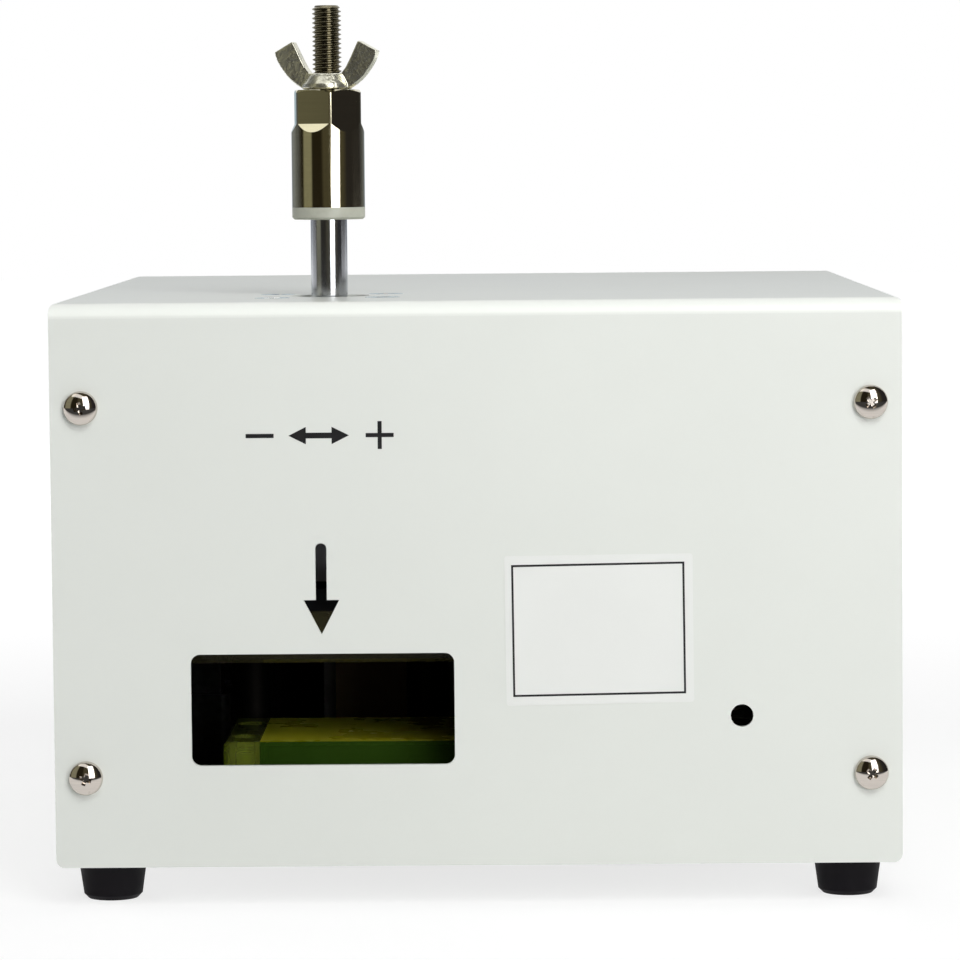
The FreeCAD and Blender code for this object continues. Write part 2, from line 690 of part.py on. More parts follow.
def pad(centre_x, z0, working_z):
    """Urethane pad with soft corners and counterbored screw holes in its working face."""
    block = prism_z(rounded(PAD_L, PAD_W, 3.0), centre_x, PAD_Y, z0, z0 + PAD_T)
    edges = [e for e in block.Edges if all(abs(v.Z - working_z) < 1e-6 for v in e.Vertexes)]
    block = block.makeChamfer(1.0, edges)
    into = z0 + PAD_T / 2 - working_z
    deep = working_z + math.copysign(8.0, into)
    low, high = sorted((working_z - math.copysign(1.0, into), deep))
    holes = []
    for x, y in pad_screw_places(centre_x):
        holes.append(post(x, y, low, high, 4.0))
        holes.append(post(x, y, z0 - 1, z0 + PAD_T + 1, M4_R + SCREW_GAP))
    return cut_each(block, holes)


def upper_pad_screws():
    screw = cap_screw(3.5, 4.0, M4_R, 11.5)
    return [put(screw, (x, y, UPPER_PAD_LOW_Z + 8.0), (0, 0, -1)) for x, y in pad_screw_places(ROD_X)]


def guide_bush(x):
    """Flanged bronze bush in the press plate, a running fit on its post."""
    bush = turned([
        (POST_R + RUN_GAP, 66.0), (BUSH_R, 66.0), (BUSH_R, PLATE_TOP_Z), (12.5, PLATE_TOP_Z),
        (12.5, PLATE_TOP_Z + 3.2), (11.7, PLATE_TOP_Z + 4.0), (POST_R + RUN_GAP, PLATE_TOP_Z + 4.0),
    ], x, POST_Y)
    return bush


def guide_post(x):
    shaft = post(x, POST_Y, Z_FLOOR, POST_TOP_Z, POST_R)
    ends = [(Z_FLOOR - 1, Z_FLOOR + 14), (POST_TOP_Z - 14, POST_TOP_Z + 1)]
    return cut(shaft, [post(x, POST_Y, z0, z1, M5_R + SCREW_GAP) for z0, z1 in ends])


def post_base(x):
    """Stepped collar round the foot of the post."""
    low = Z_FLOOR
    return turned([
        (POST_R + 0.02, low), (13.0, low), (13.0, low + 4), (9.5, low + 5.5), (9.5, low + 12),
        (POST_R + 0.02, low + 12),
    ], x, POST_Y)


def post_tie_bar():
    middle = (POST_X[0] + POST_X[1]) / 2
    bar = prism_z(rounded(74.0, 14.0, 3.0), middle, POST_Y, POST_TOP_Z, POST_TOP_Z + TIE_BAR_H)
    holes = [post(x, POST_Y, POST_TOP_Z - 1, POST_TOP_Z + TIE_BAR_H + 1, M5_R + SCREW_GAP) for x in POST_X]
    return cut(bar, holes)


# ---- Stop on the threaded end of the rod -----------------------------------------------------
def stop_bumper():
    """Nylon ring that lands on the cylinder."""
    return turned([
        (ROD_R + FREE_GAP, BUMPER_LOW_Z), (SLEEVE_R - 0.6, BUMPER_LOW_Z), (SLEEVE_R, BUMPER_LOW_Z + 0.6),
        (SLEEVE_R, BUMPER_LOW_Z + BUMPER_H), (ROD_R + FREE_GAP, BUMPER_LOW_Z + BUMPER_H),
    ], ROD_X, ROD_Y)


def stop_sleeve():
    """Round sleeve with six wrench flats milled at its upper end, threaded on the rod."""
    low = BUMPER_LOW_Z + BUMPER_H
    body = turned([
        (ROD_R + FREE_GAP, low), (SLEEVE_R, low), (SLEEVE_R, SLEEVE_TOP_Z - 0.8),
        (SLEEVE_CHAMFER_R, SLEEVE_TOP_Z), (THREAD_R + SCREW_GAP, SLEEVE_TOP_Z),
        (THREAD_R + SCREW_GAP, 207.0), (ROD_R + FREE_GAP, 205.8),
    ], 0, 0)
    half = HEX_FLATS / 2
    flat = loop([
        (half, HEX_LOW_Z), (half, SLEEVE_TOP_Z + 1), (SLEEVE_R + 3, SLEEVE_TOP_Z + 1),
        (SLEEVE_R + 3, HEX_LOW_Z - HEX_RUNOUT * 3 / (SLEEVE_R - half)), (SLEEVE_R, HEX_LOW_Z - HEX_RUNOUT),
    ])
    cutter = prism_x(flat, -SLEEVE_R, SLEEVE_R)
    for i in range(6):
        tool = cutter.copy()
        tool.rotate(V(0, 0, 0), V(0, 0, 1), 60 * i + HEX_TURN)
        body = body.cut(tool)
    body.translate(V(ROD_X, ROD_Y, 0))
    return body


def wing_nut():
    """Pressed wing nut: a coned hub and two flat wings that flare up and out."""
    low = SLEEVE_TOP_Z
    hub = turned([
        (THREAD_R + SCREW_GAP, low), (7.0, low), (7.1, low + 1.0), (5.2, low + 4.7),
        (THREAD_R + SCREW_GAP, low + 4.7),
    ], 0, 0)
    wing = loop([
        (4.4, low + 0.2), (7.4, low + 0.2), ((12.3, low + 4.2), (15.0, low + 10.6)),
        (9.0, low + 13.5), (5.0, low + 4.5), (4.4, low + 4.5),
    ])
    wing = prism_y(wing, 0, 0, -WING_T / 2, WING_T / 2)
    other = wing.mirror(V(0, 0, 0), V(1, 0, 0))
    nut_body = join([hub, wing, other])
    nut_body.rotate(V(0, 0, 0), V(0, 0, 1), WING_TURN)
    nut_body.translate(V(ROD_X, ROD_Y, 0))
    return nut_body


# ---- Lower pad table and its rails -----------------------------------------------------------
def guide_rail(side):
    """Profile rail with a groove down each flank and recessed screw holes."""
    y, z0, z1 = rail_y(side), Z_FLOOR, Z_FLOOR + RAIL_H
    half = RAIL_W / 2
    section = loop([
        (y - half, z0), (y + half, z0), (y + half, z0 + 1.6), (y + half - 0.7, z0 + 2.4),
        (y + half - 0.7, z0 + 3.0), (y + half, z0 + 3.8), (y + half, z1), (y - half, z1),
        (y - half, z0 + 3.8), (y - half + 0.7, z0 + 3.0), (y - half + 0.7, z0 + 2.4), (y - half, z0 + 1.6),
    ])
    rail = prism_x(section, *RAIL_X)
    holes = [post(x, y, z0 - 1, z1 + 1, 1.25 + SCREW_GAP) for x in RAIL_SCREW_X]
    holes += [post(x, y, z1 - 2.6, z1 + 1, 2.2) for x in RAIL_SCREW_X]
    return cut_each(rail, holes)


def carriages(side):
    """The two blocks that run on one rail."""
    y, gap = rail_y(side), 0.08
    half, throat = BLOCK_W / 2, RAIL_W / 2 + gap
    low, roof = Z_FLOOR + 1.5, Z_FLOOR + RAIL_H + gap
    section = loop([
        (y - half, low), (y - throat, low), (y - throat, roof), (y + throat, roof), (y + throat, low),
        (y + half, low), (y + half, TABLE_UNDER_Z - 0.8), (y + half - 0.8, TABLE_UNDER_Z),
        (y - half + 0.8, TABLE_UNDER_Z), (y - half, TABLE_UNDER_Z - 0.8),
    ])
    blocks = []
    for x in BLOCK_X:
        block = prism_x(section, x - BLOCK_L / 2, x + BLOCK_L / 2)
        blocks.append(block.cut(post(x, y, roof + 0.5, TABLE_UNDER_Z + 1, M3_R + SCREW_GAP)))
    return blocks


def slide_table():
    """Plate under the lower pad, with a tongue that carries the rack."""
    plate = prism_z(rounded(PAD_L, PAD_W, 2.0), LOWER_PAD_X, PAD_Y, TABLE_UNDER_Z, TABLE_TOP_Z)
    y0, y1 = RACK_Y - TONGUE_W / 2, RACK_Y + TONGUE_W / 2
    table = join([plate, box(LOWER_PAD_X, TONGUE_END_X, y0, y1, TABLE_UNDER_Z, TABLE_TOP_Z)])
    low, high = TABLE_UNDER_Z - 1, TABLE_TOP_Z + 1
    holes = [post(x, y, low, high, M4_R + SCREW_GAP) for x, y in pad_screw_places(LOWER_PAD_X)]
    holes += [post(x, RACK_Y, low, high, M3_R + SCREW_GAP) for x in rack_screw_x()]
    for x, y in block_screw_places():
        holes.append(post(x, y, low, high, M3_R + SCREW_GAP))
        holes.append(post(x, y, TABLE_TOP_Z - 3.2, high, 2.9))
    return cut_each(table, holes)


def rack_screw_x():
    return (RACK_X[0] + 7.0, RACK_X[1] - 7.0)


def table_screws():
    """Screws of the pad, the rack and the carriages."""
    pad_screw = cap_screw(3.5, 4.0, M4_R, 11.5)
    rack_screw = cap_screw(2.6, 2.4, M3_R, 12.0)
    block_screw = cap_screw(2.75, 3.0, M3_R, 4.8)
    screws = [put(pad_screw, (x, y, LOWER_PAD_TOP_Z - 8.0)) for x, y in pad_screw_places(LOWER_PAD_X)]
    screws += [put(rack_screw, (x, RACK_Y, TABLE_UNDER_Z), (0, 0, -1)) for x in rack_screw_x()]
    return screws + [put(block_screw, (x, y, TABLE_TOP_Z - 3.2)) for x, y in block_screw_places()]


# ---- Rack and pinion -------------------------------------------------------------------------
def gear_rack():
    """Straight-sided teeth, one centred under the pinion."""
    pitch = math.pi * GEAR_MODULE
    tip, root = RACK_PITCH_Z + GEAR_MODULE, RACK_PITCH_Z - 1.25 * GEAR_MODULE
    lean = math.tan(PRESSURE_ANGLE)
    half = (pitch / 2 - BACKLASH) / 2
    corners = [(RACK_X[0], TABLE_TOP_Z), (RACK_X[1], TABLE_TOP_Z), (RACK_X[1], root)]
    first = math.ceil((RACK_X[0] + 2 - PINION_X) / pitch)
    last = math.floor((RACK_X[1] - 2 - PINION_X) / pitch)
    for i in range(last, first - 1, -1):
        centre = PINION_X + i * pitch
        foot, top = half + 1.25 * GEAR_MODULE * lean, half - GEAR_MODULE * lean
        corners += [(centre + foot, root), (centre + top, tip), (centre - top, tip), (centre - foot, root)]
    corners.append((RACK_X[0], root))
    rack = prism_y(loop(corners), 0, 0, RACK_Y - RACK_W / 2, RACK_Y + RACK_W / 2)
    holes = [post(x, RACK_Y, TABLE_TOP_Z - 1, TABLE_TOP_Z + 7, M3_R + SCREW_GAP) for x in rack_screw_x()]
    return cut(rack, holes)


def involute(base_r, r):
    """Angle that the flank has turned through by radius r."""
    turn = math.sqrt(max(0.0, (r / base_r) ** 2 - 1))
    return turn - math.atan(turn)


def pinion_outline():
    """Involute teeth. A gap between two teeth points straight down, on the rack's middle tooth."""
    base_r = PITCH_R * math.cos(PRESSURE_ANGLE)
    tip_r, root_r = PITCH_R + GEAR_MODULE, PITCH_R - 1.25 * GEAR_MODULE
    half = math.pi / (2 * PINION_TEETH) - BACKLASH / (2 * PITCH_R)
    radii = [base_r, PITCH_R, tip_r]
    corners = []
    for i in range(PINION_TEETH):
        centre = -math.pi / 2 + (i + 0.5) * 2 * math.pi / PINION_TEETH
        angles = [half + involute(base_r, PITCH_R) - involute(base_r, r) for r in radii]
        rising = [(root_r, -angles[0])] + [(r, -a) for r, a in zip(radii, angles)]
        falling = [(r, a) for r, a in reversed(list(zip(radii, angles)))] + [(root_r, angles[0])]
        for r, a in rising + falling:
            corners.append((r * math.cos(centre + a), r * math.sin(centre + a)))
    return loop(corners)


def drive_pinion():
    teeth = prism_y(pinion_outline(), PINION_X, PINION_Z, *PINION_Y)
    hub = bar_y(PINION_X, PINION_Z, PINION_Y[1], HUB_END_Y, 9.0)
    body = join([teeth, hub])
    body = body.cut(bar_y(PINION_X, PINION_Z, PINION_Y[0] - 1, HUB_END_Y + 1, SHAFT_R + 0.02))
    y = (PINION_Y[1] + HUB_END_Y) / 2
    return body.cut(post(PINION_X, y, PINION_Z, PINION_Z + 10, 2.0 + SCREW_GAP))


def motor_shaft():
    """Output shaft, slotted at its front end so that it can be turned by hand through the panel."""
    y0 = PINION_Y[0] - 1
    shaft = bar_y(PINION_X, PINION_Z, y0, GEARHEAD_Y + 14, SHAFT_R)
    slot = box(PINION_X - 5, PINION_X + 5, y0 - 1, y0 + 2.5, PINION_Z - 0.7, PINION_Z + 0.7)
    return shaft.cut(slot)


def pinion_set_screw():
    y = (PINION_Y[1] + HUB_END_Y) / 2
    grub = post(PINION_X, y, PINION_Z + SHAFT_R + 0.02, PINION_Z + 8.6, 2.0)
    socket = hexagon(2.0, 0, 3)
    socket.translate(V(PINION_X, y, PINION_Z + 6.6))
    return grub.cut(socket)


def gearhead():
    """Square gear case; its output boss sits below the middle."""
    y = GEARHEAD_Y
    case = prism_y(rounded(GEARHEAD_SIZE, GEARHEAD_SIZE, 5.0), PINION_X, GEARHEAD_Z, y, y + GEARHEAD_L)
    boss = bar_y(PINION_X, PINION_Z, y - 3.0, y, 12.0)
    holes = [bar_y(PINION_X, PINION_Z, y - 4, y + 15, SHAFT_R + RUN_GAP)]
    holes += [bar_y(x, z, y - 1, y + 12, M4_R + SCREW_GAP) for x, z in gearhead_screw_places()]
    return cut(join([case, boss]), holes)


def gearmotor_body():
    """Die-cast motor with soft corners, four cooling bands and a lead box at its end."""
    y0 = GEARHEAD_Y + GEARHEAD_L
    size = GEARHEAD_SIZE
    bands = [(0, 8, 0), (16, 22, 2), (29, 35, 2), (42, 48, 2), (MOTOR_L - 14, MOTOR_L, 2)]
    parts = [prism_y(rounded(size - 8, size - 8, 9.0), PINION_X, GEARHEAD_Z, y0 + 2, y0 + MOTOR_L - 2)]
    for start, end, inset in bands:
        face = rounded(size - inset, size - inset, 5.0 + 2 * inset)
        parts.append(prism_y(face, PINION_X, GEARHEAD_Z, y0 + start, y0 + end))
    x0, y1 = PINION_X + 8, y0 + MOTOR_L
    parts.append(box(x0, x0 + 14, y1 - 1, y1 + 6, GEARHEAD_Z - 6, GEARHEAD_Z + 6))
    return join(parts)


def motor_bracket():
    """Angle bracket with a gusset each side of the gear case."""
    x0, x1 = PINION_X - 34, PINION_X + 34
    y0, y1 = BRACKET_Y, BRACKET_Y + BRACKET_T
    wall = box(x0, x1, y0, y1, Z_FLOOR, GEARHEAD_Z + 34)
    foot = box(x0, x1, y1, y1 + 38, Z_FLOOR, Z_FLOOR + BRACKET_T)
    rib = loop([(y1, Z_FLOOR + BRACKET_T), (y1 + 36, Z_FLOOR + BRACKET_T), (y1, Z_FLOOR + 48)])
    ribs = [prism_x(rib, x0, x0 + 3), prism_x(rib, x1 - 3, x1)]
    holes = [bar_y(PINION_X, PINION_Z, y0 - 1, y1 + 1, 12.1)]
    holes += [bar_y(x, z, y0 - 1, y1 + 1, M4_R + SCREW_GAP) for x, z in gearhead_screw_places()]
    foot_top = Z_FLOOR + BRACKET_T
    holes += [post(x, y, Z_FLOOR - 1, foot_top + 1, M4_R + SCREW_GAP) for x, y in bracket_foot_places()]
    return cut(join([wall, foot] + ribs), holes)


def frame_screws():
    """Screws of the rails, posts, bracket and valve, and the pillars under the board."""
    reach = Z_BOTTOM + 0.2
    rail_seat = Z_FLOOR + RAIL_H - 2.6
    bracket_seat = Z_FLOOR + BRACKET_T
    rail_screw = cap_screw(2.1, 2.2, 1.25, rail_seat - reach)
    bracket_screw = hex_screw(7.0, 2.8, M4_R, bracket_seat - reach)
    valve_screw = hex_screw(5.5, 2.0, M3_R, VALVE_TOP_Z - reach)
    post_screw = hex_screw(8.0, 3.5, M5_R, 15.0)
    tie_bar_screw = hex_screw(8.0, 3.5, M5_R, 23.0)
    gearhead_screw = hex_screw(7.0, 2.8, M4_R, 14.0)
    screws = [put(rail_screw, (x, y, rail_seat)) for x, y in rail_screw_places()]
    screws += [put(bracket_screw, (x, y, bracket_seat)) for x, y in bracket_foot_places()]
    screws += [put(valve_screw, (VALVE_X, y, VALVE_TOP_Z)) for y in VALVE_SCREW_Y]
    screws += [put(post_screw, (x, y, Z_BOTTOM), (0, 0, -1)) for x, y in post_places()]
    screws += [put(tie_bar_screw, (x, y, POST_TOP_Z + TIE_BAR_H)) for x, y in post_places()]
    screws += [put(gearhead_screw, (x, BRACKET_Y, z), (0, -1, 0)) for x, z in gearhead_screw_places()]
    pillar = hexagon(5.5, 0, BOARD_Z - Z_FLOOR)
    return screws + [put(pillar, (x, y, Z_FLOOR)) for x, y in board_support_places()]


# ---- Air and electrics -----------------------------------------------------------------------
def valve_body():
    outline = rounded(20.0, VALVE_Y[1] - VALVE_Y[0], 1.5)
    body = prism_z(outline, VALVE_X, sum(VALVE_Y) / 2, Z_FLOOR, VALVE_TOP_Z)
    holes = [post(VALVE_X, y, VALVE_TOP_Z - 8, VALVE_TOP_Z + 1, 4.9) for y in VALVE_PORT_Y.values()]
    holes += [post(VALVE_X, y, Z_FLOOR - 1, VALVE_TOP_Z + 1, M3_R + SCREW_GAP) for y in VALVE_SCREW_Y]
    holes.append(post(VALVE_X, OVERRIDE_Y, VALVE_TOP_Z - 5, VALVE_TOP_Z + 1, OVERRIDE_R + 0.3))
    return cut(body, holes)


def valve_override():
    """Small button that works the valve by hand."""
    top = VALVE_TOP_Z + OVERRIDE_TRAVEL + 0.2
    return post(VALVE_X, OVERRIDE_Y, VALVE_TOP_Z - 3.5, top, OVERRIDE_R)


def valve_coil():
    """Moulded coil on the end of the valve, with its plug on top."""
    y1 = VALVE_Y[0]
    coil = prism_z(rounded(22.0, 28.0, 3.0), VALVE_X, y1 - 14, Z_FLOOR + 1, VALVE_TOP_Z - 1)
    plug = box(VALVE_X - 8, VALVE_X + 8, y1 - 24, y1 - 6, VALVE_TOP_Z - 1, VALVE_TOP_Z + 12)
    return join([coil, plug])


def push_fitting():
    """Straight push-in fitting for tube, from its seat at z = 0 up."""
    thread = post(0, 0, -7, 0, 4.85)
    body = post(0, 0, 5, 12, 5.2)
    return join([hexagon(11.0, 0, 5), thread, body]).cut(post(0, 0, 3, 14, TUBE_R + SCREW_GAP))


def tube_fittings():
    rear = ROD_Y + CYL_SIZE / 2
    fittings = [put(push_fitting(), (VALVE_X, y, VALVE_TOP_Z)) for y in VALVE_PORT_Y.values()]
    return fittings + [put(push_fitting(), (ROD_X, rear, UPPER_PORT_Z), (0, 1, 0))]


def tube_along(points):
    """Round tube along straight runs, with an arc as large as the runs allow at each turn."""
    corners = [V(*p) for p in points]
    pieces = []
    here = corners[0]
    for before, corner, after in zip(corners, corners[1:], corners[2:]):
        back, on = (before - corner).normalize(), (after - corner).normalize()
        turn = math.pi - back.getAngle(on)
        run = 0.45 * min(before.distanceToPoint(corner), after.distanceToPoint(corner))
        radius = run / math.tan(turn / 2)
        start = corner + back * run
        centre = corner + (back + on).normalize() * (radius / math.cos(turn / 2))
        axis = back.cross(on).normalize() * -1
        pieces.append(Part.makeCylinder(TUBE_R, here.distanceToPoint(start), here, start - here))
        disc = Part.Face(Part.Wire(Part.makeCircle(TUBE_R, start, back)))
        pieces.append(disc.revolve(centre, axis, math.degrees(turn)))
        here = corner + on * run
    pieces.append(Part.makeCylinder(TUBE_R, here.distanceToPoint(corners[-1]), here, corners[-1] - here))
    return join(pieces)


def air_tubes():
    """Supply from the rear fitting to the valve, and the line from the valve to the cylinder."""
    top = VALVE_TOP_Z + 4
    supply_y, out_y = VALVE_PORT_Y["supply"], VALVE_PORT_Y["cylinder"]
    supply = tube_along([
        (AIR_X, Y_PANEL_OUT - 7, AIR_Z), (AIR_X, supply_y, AIR_Z), (AIR_X, supply_y, top),
    ])
    start_y = ROD_Y + CYL_SIZE / 2 + 4
    line = tube_along([
        (ROD_X, start_y, UPPER_PORT_Z), (ROD_X, 6.0, UPPER_PORT_Z),
        (VALVE_X, out_y, 116.0), (VALVE_X, out_y, top),
    ])
    return [supply, line]


def air_fitting():
    """Bulkhead push-in fitting through the rear panel, with its nut inside."""
    mouth = FITTING_REACH - COLLAR_GAP - 1.6
    body = [post(0, 0, -13, 0, 6.0), hexagon(17.0, 0, 5), post(0, 0, 5, mouth, 7.0)]
    body.append(hexagon(16.0, -SHEET_T - 5, -SHEET_T))
    core = join(body)
    outer_bore = post(0, 0, -3, mouth, TUBE_R + SCREW_GAP)
    seat = post(0, 0, AIR_SEAT, mouth + 1, 4.7)
    inner_bore = post(0, 0, -14, -6, TUBE_R + SCREW_GAP)
    core = core.cut(join([outer_bore, seat, inner_bore, post(0, 0, -7, 0, 1.8)]))
    return put(core, (AIR_X, Y_PANEL_OUT, AIR_Z), (0, 1, 0))


def fitting_collar():
    """Ring that is pushed in to let go of the tube."""
    end = FITTING_REACH
    ring_solid = turned([
        (TUBE_R + 0.3, end - 8), (4.4, end - 8), (4.4, end - 1.6), (5.6, end - 1.6), (5.6, end),
        (TUBE_R + 0.3, end),
    ], 0, 0)
    return put(ring_solid, (AIR_X, Y_PANEL_OUT, AIR_Z), (0, 1, 0))


def control_board():
    """Relay board: transformer, two relays, capacitors and a terminal row on one board."""
    top = BOARD_Z + BOARD_T
    (x0, x1), (y0, y1) = BOARD_X, BOARD_Y
    parts = [box(x0, x1, y0, y1, BOARD_Z, top)]
    parts.append(box(x0 + 10, x0 + 42, y0 + 12, y0 + 48, top, top + 28))
    parts.append(box(x0 + 6, x0 + 46, y0 + 22, y0 + 38, top, top + 21))
    for i in range(2):
        parts.append(box(x0 + 54, x0 + 73, y0 + 12 + 20 * i, y0 + 28 + 20 * i, top, top + 15))
        parts.append(post(x0 + 20 + 14 * i, y0 + 59, top, top + 14, 4.5))
    parts.append(box(x0 + 12, x1 - 12, y1 - 11, y1 - 2, top, top + 11))
    for i in range(9):
        parts.append(box(x0 + 14 + 7 * i, x0 + 18 + 7 * i, y1 - 13, y1 - 11, top + 2, top + 7))
    return join(parts)


def motor_capacitor():
    (x0, x1), (y0, y1) = CAPACITOR_X, CAPACITOR_Y
    middle = (y0 + y1) / 2
    can = prism_z(rounded(x1 - x0, y1 - y0, 4.0), (x0 + x1) / 2, middle, Z_FLOOR, Z_FLOOR + 24)
    low, high = Z_FLOOR + 24, Z_FLOOR + 32
    tabs = [box(x, x + 6, middle - 0.5, middle + 0.5, low, high) for x in (x0 + 10, x0 + 22)]
    return join([can] + tabs)


def position_sensors():
    """Two block sensors on the floor that see the tongue at each end of its travel."""
    sensors = []
    for x in SENSOR_X:
        block = box(x - 5, x + 5, RACK_Y - 7, RACK_Y + 5, Z_FLOOR, Z_FLOOR + 5)
        cable_end = box(x - 3, x + 3, RACK_Y + 5, RACK_Y + 11, Z_FLOOR, Z_FLOOR + 3)
        sensors.append(join([block, cable_end]))
    return sensors


def power_inlet():
    """Mains inlet: flange with two screw ears, plug recess with three pins, and a fuse drawer's slot."""
    y = Y_PANEL_OUT
    flange = prism_y(rounded(50.0, INLET_H + 2.8, 5.0), INLET_X, INLET_MID_Z, y, y + INLET_FLANGE_T)
    body = prism_y(rounded(INLET_W, INLET_H, 2.0), INLET_X, INLET_MID_Z, y - 19, y)
    recess = loop([(-12, -8.2), (12, -8.2), (12, 3.0), (7.0, 8.2), (-7.0, 8.2), (-12, 3.0)])
    recess = prism_y(recess, INLET_X, INLET_Z, y - 13, y + 4)
    slot = box(INLET_X - 10.3, INLET_X + 10.3, y - 14, y + 4, DRAWER_Z - 3.0, DRAWER_Z + 3.0)
    ears = [bar_y(x, INLET_MID_Z, y - 1, y + 4, M3_R + SCREW_GAP) for x in inlet_screw_x()]
    shell = cut(join([flange, body]), [recess, slot] + ears)
    parts = [shell]
    for side in (-1, 0, 1):
        x, z = INLET_X + 7 * side, INLET_Z + 2 - 4 * abs(side)
        parts.append(box(x - 1, x + 1, y - 13.5, y - 0.5, z - 2, z + 2))
        parts.append(box(x - 2.4, x + 2.4, y - 27, y - 19, INLET_Z - 0.4, INLET_Z + 0.4))
    return join(parts)


def inlet_screw_x():
    return (INLET_X - INLET_SCREW_OFFSET, INLET_X + INLET_SCREW_OFFSET)


def fuse_drawer():
    """Pull-out tray for the fuse, with a lip to catch a fingernail."""
    x, z, face = INLET_X, DRAWER_Z, Y_PANEL_OUT + INLET_FLANGE_T
    tray = box(x - 10, x + 10, face - 16, face, z - 2.7, z + 2.7)
    pocket = box(x - 8.5, x + 8.5, face - 14.5, face - 2, z - 1.5, z + 3.0)
    lip = box(x - 4, x + 4, face, face + 1.2, z + 1, z + 2.7)
    return join([tray.cut(pocket), lip])


def switch_frame():
    """Snap-in switch body with a well that the rocker turns in."""
    y = Y_PANEL_OUT
    rim = prism_y(rounded(15.0, 21.0, 1.5), SWITCH_X, SWITCH_Z, y, y + 2)
    body = prism_y(rounded(13.0, 19.2, 1.0), SWITCH_X, SWITCH_Z, y - 15, y)
    well = box(SWITCH_X - 5.4, SWITCH_X + 5.4, y - 9, y + 3, SWITCH_Z - 8.9, SWITCH_Z + 8.9)
    tabs = [box(SWITCH_X - 2.4, SWITCH_X + 2.4, y - 23, y - 15, z - 0.4, z + 0.4)
            for z in (SWITCH_Z - 5, SWITCH_Z + 5)]
    pin = Part.makeCylinder(1.2, 12.4, V(SWITCH_X - 6.2, SWITCH_PIVOT_Y, SWITCH_Z), V(1, 0, 0))
    return join([rim.fuse(body).cut(well), pin] + tabs)


def switch_rocker():
    """Rocker with a shallow V face, turned to its OFF side."""
    y = SWITCH_PIVOT_Y
    face = loop([
        (y - 2.5, SWITCH_Z - 5.5), (y + 2.9, SWITCH_Z - 8.4), (y + 5.1, SWITCH_Z - 8.2),
        (y + 3.7, SWITCH_Z), (y + 5.1, SWITCH_Z + 8.2), (y + 2.9, SWITCH_Z + 8.4),
        (y - 2.5, SWITCH_Z + 5.5),
    ])
    rocker = prism_x(face, SWITCH_X - 5.1, SWITCH_X + 5.1)
    axle = Part.makeCylinder(1.2 + RUN_GAP, 14.0, V(SWITCH_X - 7, y, SWITCH_Z), V(1, 0, 0))
    rocker = rocker.cut(axle)
    rocker.rotate(V(SWITCH_X, y, SWITCH_Z), V(1, 0, 0), ROCKER_TILT)
    return rocker


def pedal_socket():
    """Round four-pin socket for the foot pedal, held by a nut inside the panel."""
    parts = [post(0, 0, -14, 9, 8.0), post(0, 0, 0, 2, 10.5), hexagon(19.0, -SHEET_T - 3, -SHEET_T)]
    shell = join(parts).cut(post(0, 0, 1.5, 10, 6.6))
    pins = [box(sx * 2.4 - 0.7, sx * 2.4 + 0.7, sy * 2.4 - 0.7, sy * 2.4 + 0.7, 1.0, 6.5)
            for sx in (-1, 1) for sy in (-1, 1)]
    key = box(-1.0, 1.0, 5.4, 7.0, 1.0, 8.5)
    return put(join([shell, key] + pins), (SOCKET_X, Y_PANEL_OUT, SOCKET_Z), (0, 1, 0))


# ---- Every piece by name ---------------------------------------------------------------------
PIECES = {
    "chassis_tray": chassis_tray,
    "front_top_cover": front_top_cover,
    "rear_panel": rear_panel,
    "rubber_feet": lambda: [rubber_foot(x, y) for x, y in FEET],
    "foot_screws": foot_screws,
    "cover_front_screws": cover_front_screws,
    "rear_panel_screws": rear_panel_screws,
    "cylinder_barrel": cylinder_barrel,
    "cylinder_upper_cover": cylinder_upper_cover,
    "cylinder_lower_cover": cylinder_lower_cover,
    "cylinder_screws": cylinder_screws,
    "rod_glands": rod_glands,
    "piston": piston,
    "piston_seal": piston_seal,
    "piston_rod": piston_rod,
    "return_spring": return_spring,
    "rod_end_screw": rod_end_screw,
    "press_plate": press_plate,
    "upper_pad": lambda: pad(ROD_X, UPPER_PAD_LOW_Z, UPPER_PAD_LOW_Z),
    "upper_pad_screws": upper_pad_screws,
    "guide_bushes": lambda: [guide_bush(x) for x in POST_X],
    "post_bases": lambda: [post_base(x) for x in POST_X],
    "post_tie_bar": post_tie_bar,
    "stop_bumper": stop_bumper,
    "stop_sleeve": stop_sleeve,
    "wing_nut": wing_nut,
    "slide_table": slide_table,
    "lower_pad": lambda: pad(LOWER_PAD_X, TABLE_TOP_Z, LOWER_PAD_TOP_Z),
    "table_screws": table_screws,
    "gear_rack": gear_rack,
    "drive_pinion": drive_pinion,
    "motor_shaft": motor_shaft,
    "pinion_set_screw": pinion_set_screw,
    "gearhead": gearhead,
    "gearmotor_body": gearmotor_body,
    "motor_bracket": motor_bracket,
    "frame_screws": frame_screws,
    "motor_capacitor": motor_capacitor,
    "position_sensors": position_sensors,
    "valve_body": valve_body,
    "valve_override": valve_override,
    "valve_coil": valve_coil,
    "tube_fittings": tube_fittings,
    "air_tubes": air_tubes,
    "air_fitting": air_fitting,
    "fitting_collar": fitting_collar,
    "control_board": control_board,
    "power_inlet": power_inlet,
    "fuse_drawer": fuse_drawer,
    "switch_frame": switch_frame,
    "switch_rocker": switch_rocker,
    "pedal_socket": pedal_socket,
}
for side_name, post_x in zip(("left", "right"), POST_X):
    PIECES["guide_post_" + side_name] = lambda x=post_x: guide_post(x)
for rail_side in RAIL_DEPTHS:
    PIECES["guide_rail_" + rail_side] = lambda side=rail_side: guide_rail(side)
    PIECES["carriages_" + rail_side] = lambda side=rail_side: carriages(side)


